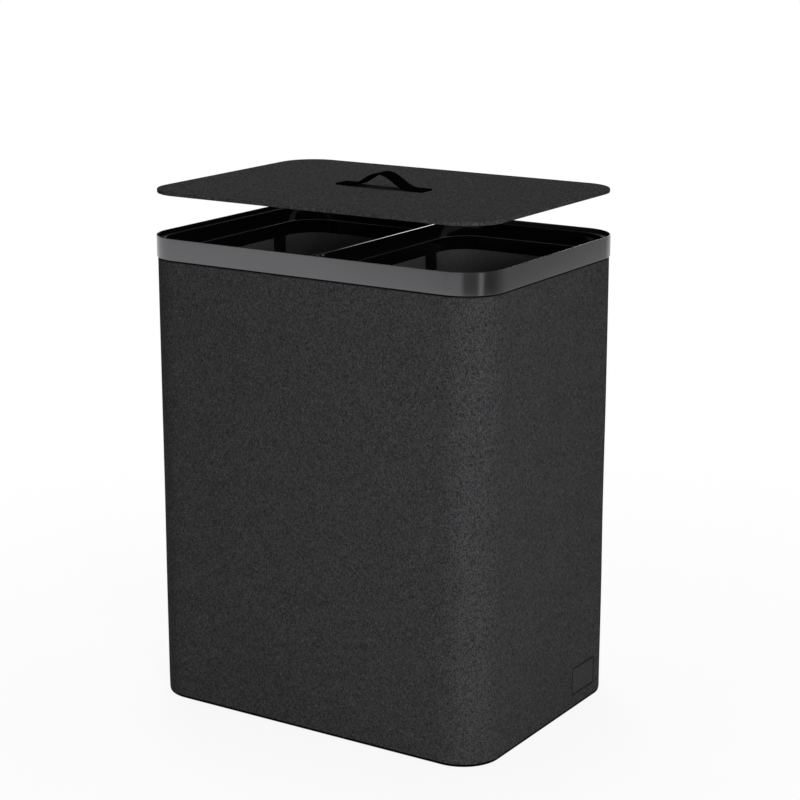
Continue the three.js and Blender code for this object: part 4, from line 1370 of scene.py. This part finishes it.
    def ramp(self, tree, across, shades):
        """A colour ramp of (bearing in degrees, shade) over a whole turn, from -180 to 180."""
        made = place(tree, "ShaderNodeValToRGB", {"Fac": across})
        stops = made.color_ramp.elements
        for stop, (_, shade) in zip(stops, (shades[0], shades[-1])):
            stop.color = opaque([shade] * 3)
        for angle, shade in shades[1:-1]:
            stops.new((angle + 180) / 360).color = opaque([shade] * 3)
        return made.outputs["Color"]

    def world(self, stage):
        """Soft light from all round, which camera, glossy and transmission rays see as white."""
        world = bpy.context.scene.world or bpy.data.worlds.new("studio")
        bpy.context.scene.world = world
        world.use_nodes = True
        tree = world.node_tree
        tree.nodes.clear()
        rays = place(tree, "ShaderNodeLightPath").outputs
        seen = compute(tree, "MAXIMUM", rays["Is Camera Ray"], rays["Is Glossy Ray"])
        seen = compute(tree, "MAXIMUM", seen, rays["Is Transmission Ray"])
        soft, white = (
            place(tree, "ShaderNodeBackground", {"Color": WHITE, "Strength": strength}).outputs[0]
            for strength in (stage.ambient, 1.0)
        )
        mix = place(tree, "ShaderNodeMixShader", {0: seen, 1: soft, 2: white})
        place(tree, "ShaderNodeOutputWorld", {"Surface": mix.outputs[0]})

    def lamp(self, name, where, size, power, reflected):
        """A square lamp that points at the middle of the hamper."""
        data = bpy.data.lights.new(name, "AREA")
        data.size, data.energy = size, power
        made = bpy.data.objects.new(name, data)
        made.location = where
        made.visible_glossy = reflected
        x, y, z = np.array(self.lamp_target) - np.array(where)
        made.rotation_euler = (math.atan2(math.hypot(x, y), -z), 0, math.atan2(y, x) - QUARTER)
        bpy.context.scene.collection.objects.link(made)


OPERATORS = (
    HAMPER_OT_stage,
    HAMPER_OT_body_fabric,
    HAMPER_OT_top_band,
    HAMPER_OT_insert_frame,
    HAMPER_OT_bins,
    HAMPER_OT_lid,
    HAMPER_OT_strap,
    HAMPER_OT_feet,
    HAMPER_OT_inner_pieces,
)
GROUPS = {"hamper_sizes": HamperSizes, "hamper_colours": HamperColours, "hamper_stage": HamperStage}


class HAMPER_PT_panel(bpy.types.Panel):
    """Lists the hamper's operators, sizes and colours"""

    bl_idname = "HAMPER_PT_panel"
    bl_label = "Laundry hamper"
    bl_space_type = "VIEW_3D"
    bl_region_type = "UI"
    bl_category = "Hamper"

    def draw(self, context):
        for operator in OPERATORS:
            self.layout.operator(operator.bl_idname)
        for group in (getattr(context.scene, label) for label in GROUPS):
            box = self.layout.box()
            for name in group.bl_rna.properties.keys():
                if name not in ("rna_type", "name"):
                    box.prop(group, name)


CLASSES = (*GROUPS.values(), *OPERATORS, HAMPER_PT_panel)


def register():
    for item in CLASSES:
        bpy.utils.register_class(item)
    for name, group in GROUPS.items():
        setattr(bpy.types.Scene, name, PointerProperty(type=group))


def unregister():
    for name in GROUPS:
        delattr(bpy.types.Scene, name)
    for item in reversed(CLASSES):
        bpy.utils.unregister_class(item)


def main():
    register()
    for operator in OPERATORS:
        group, name = operator.bl_idname.split(".")
        getattr(getattr(bpy.ops, group), name)()


if __name__ == "__main__":
    main()
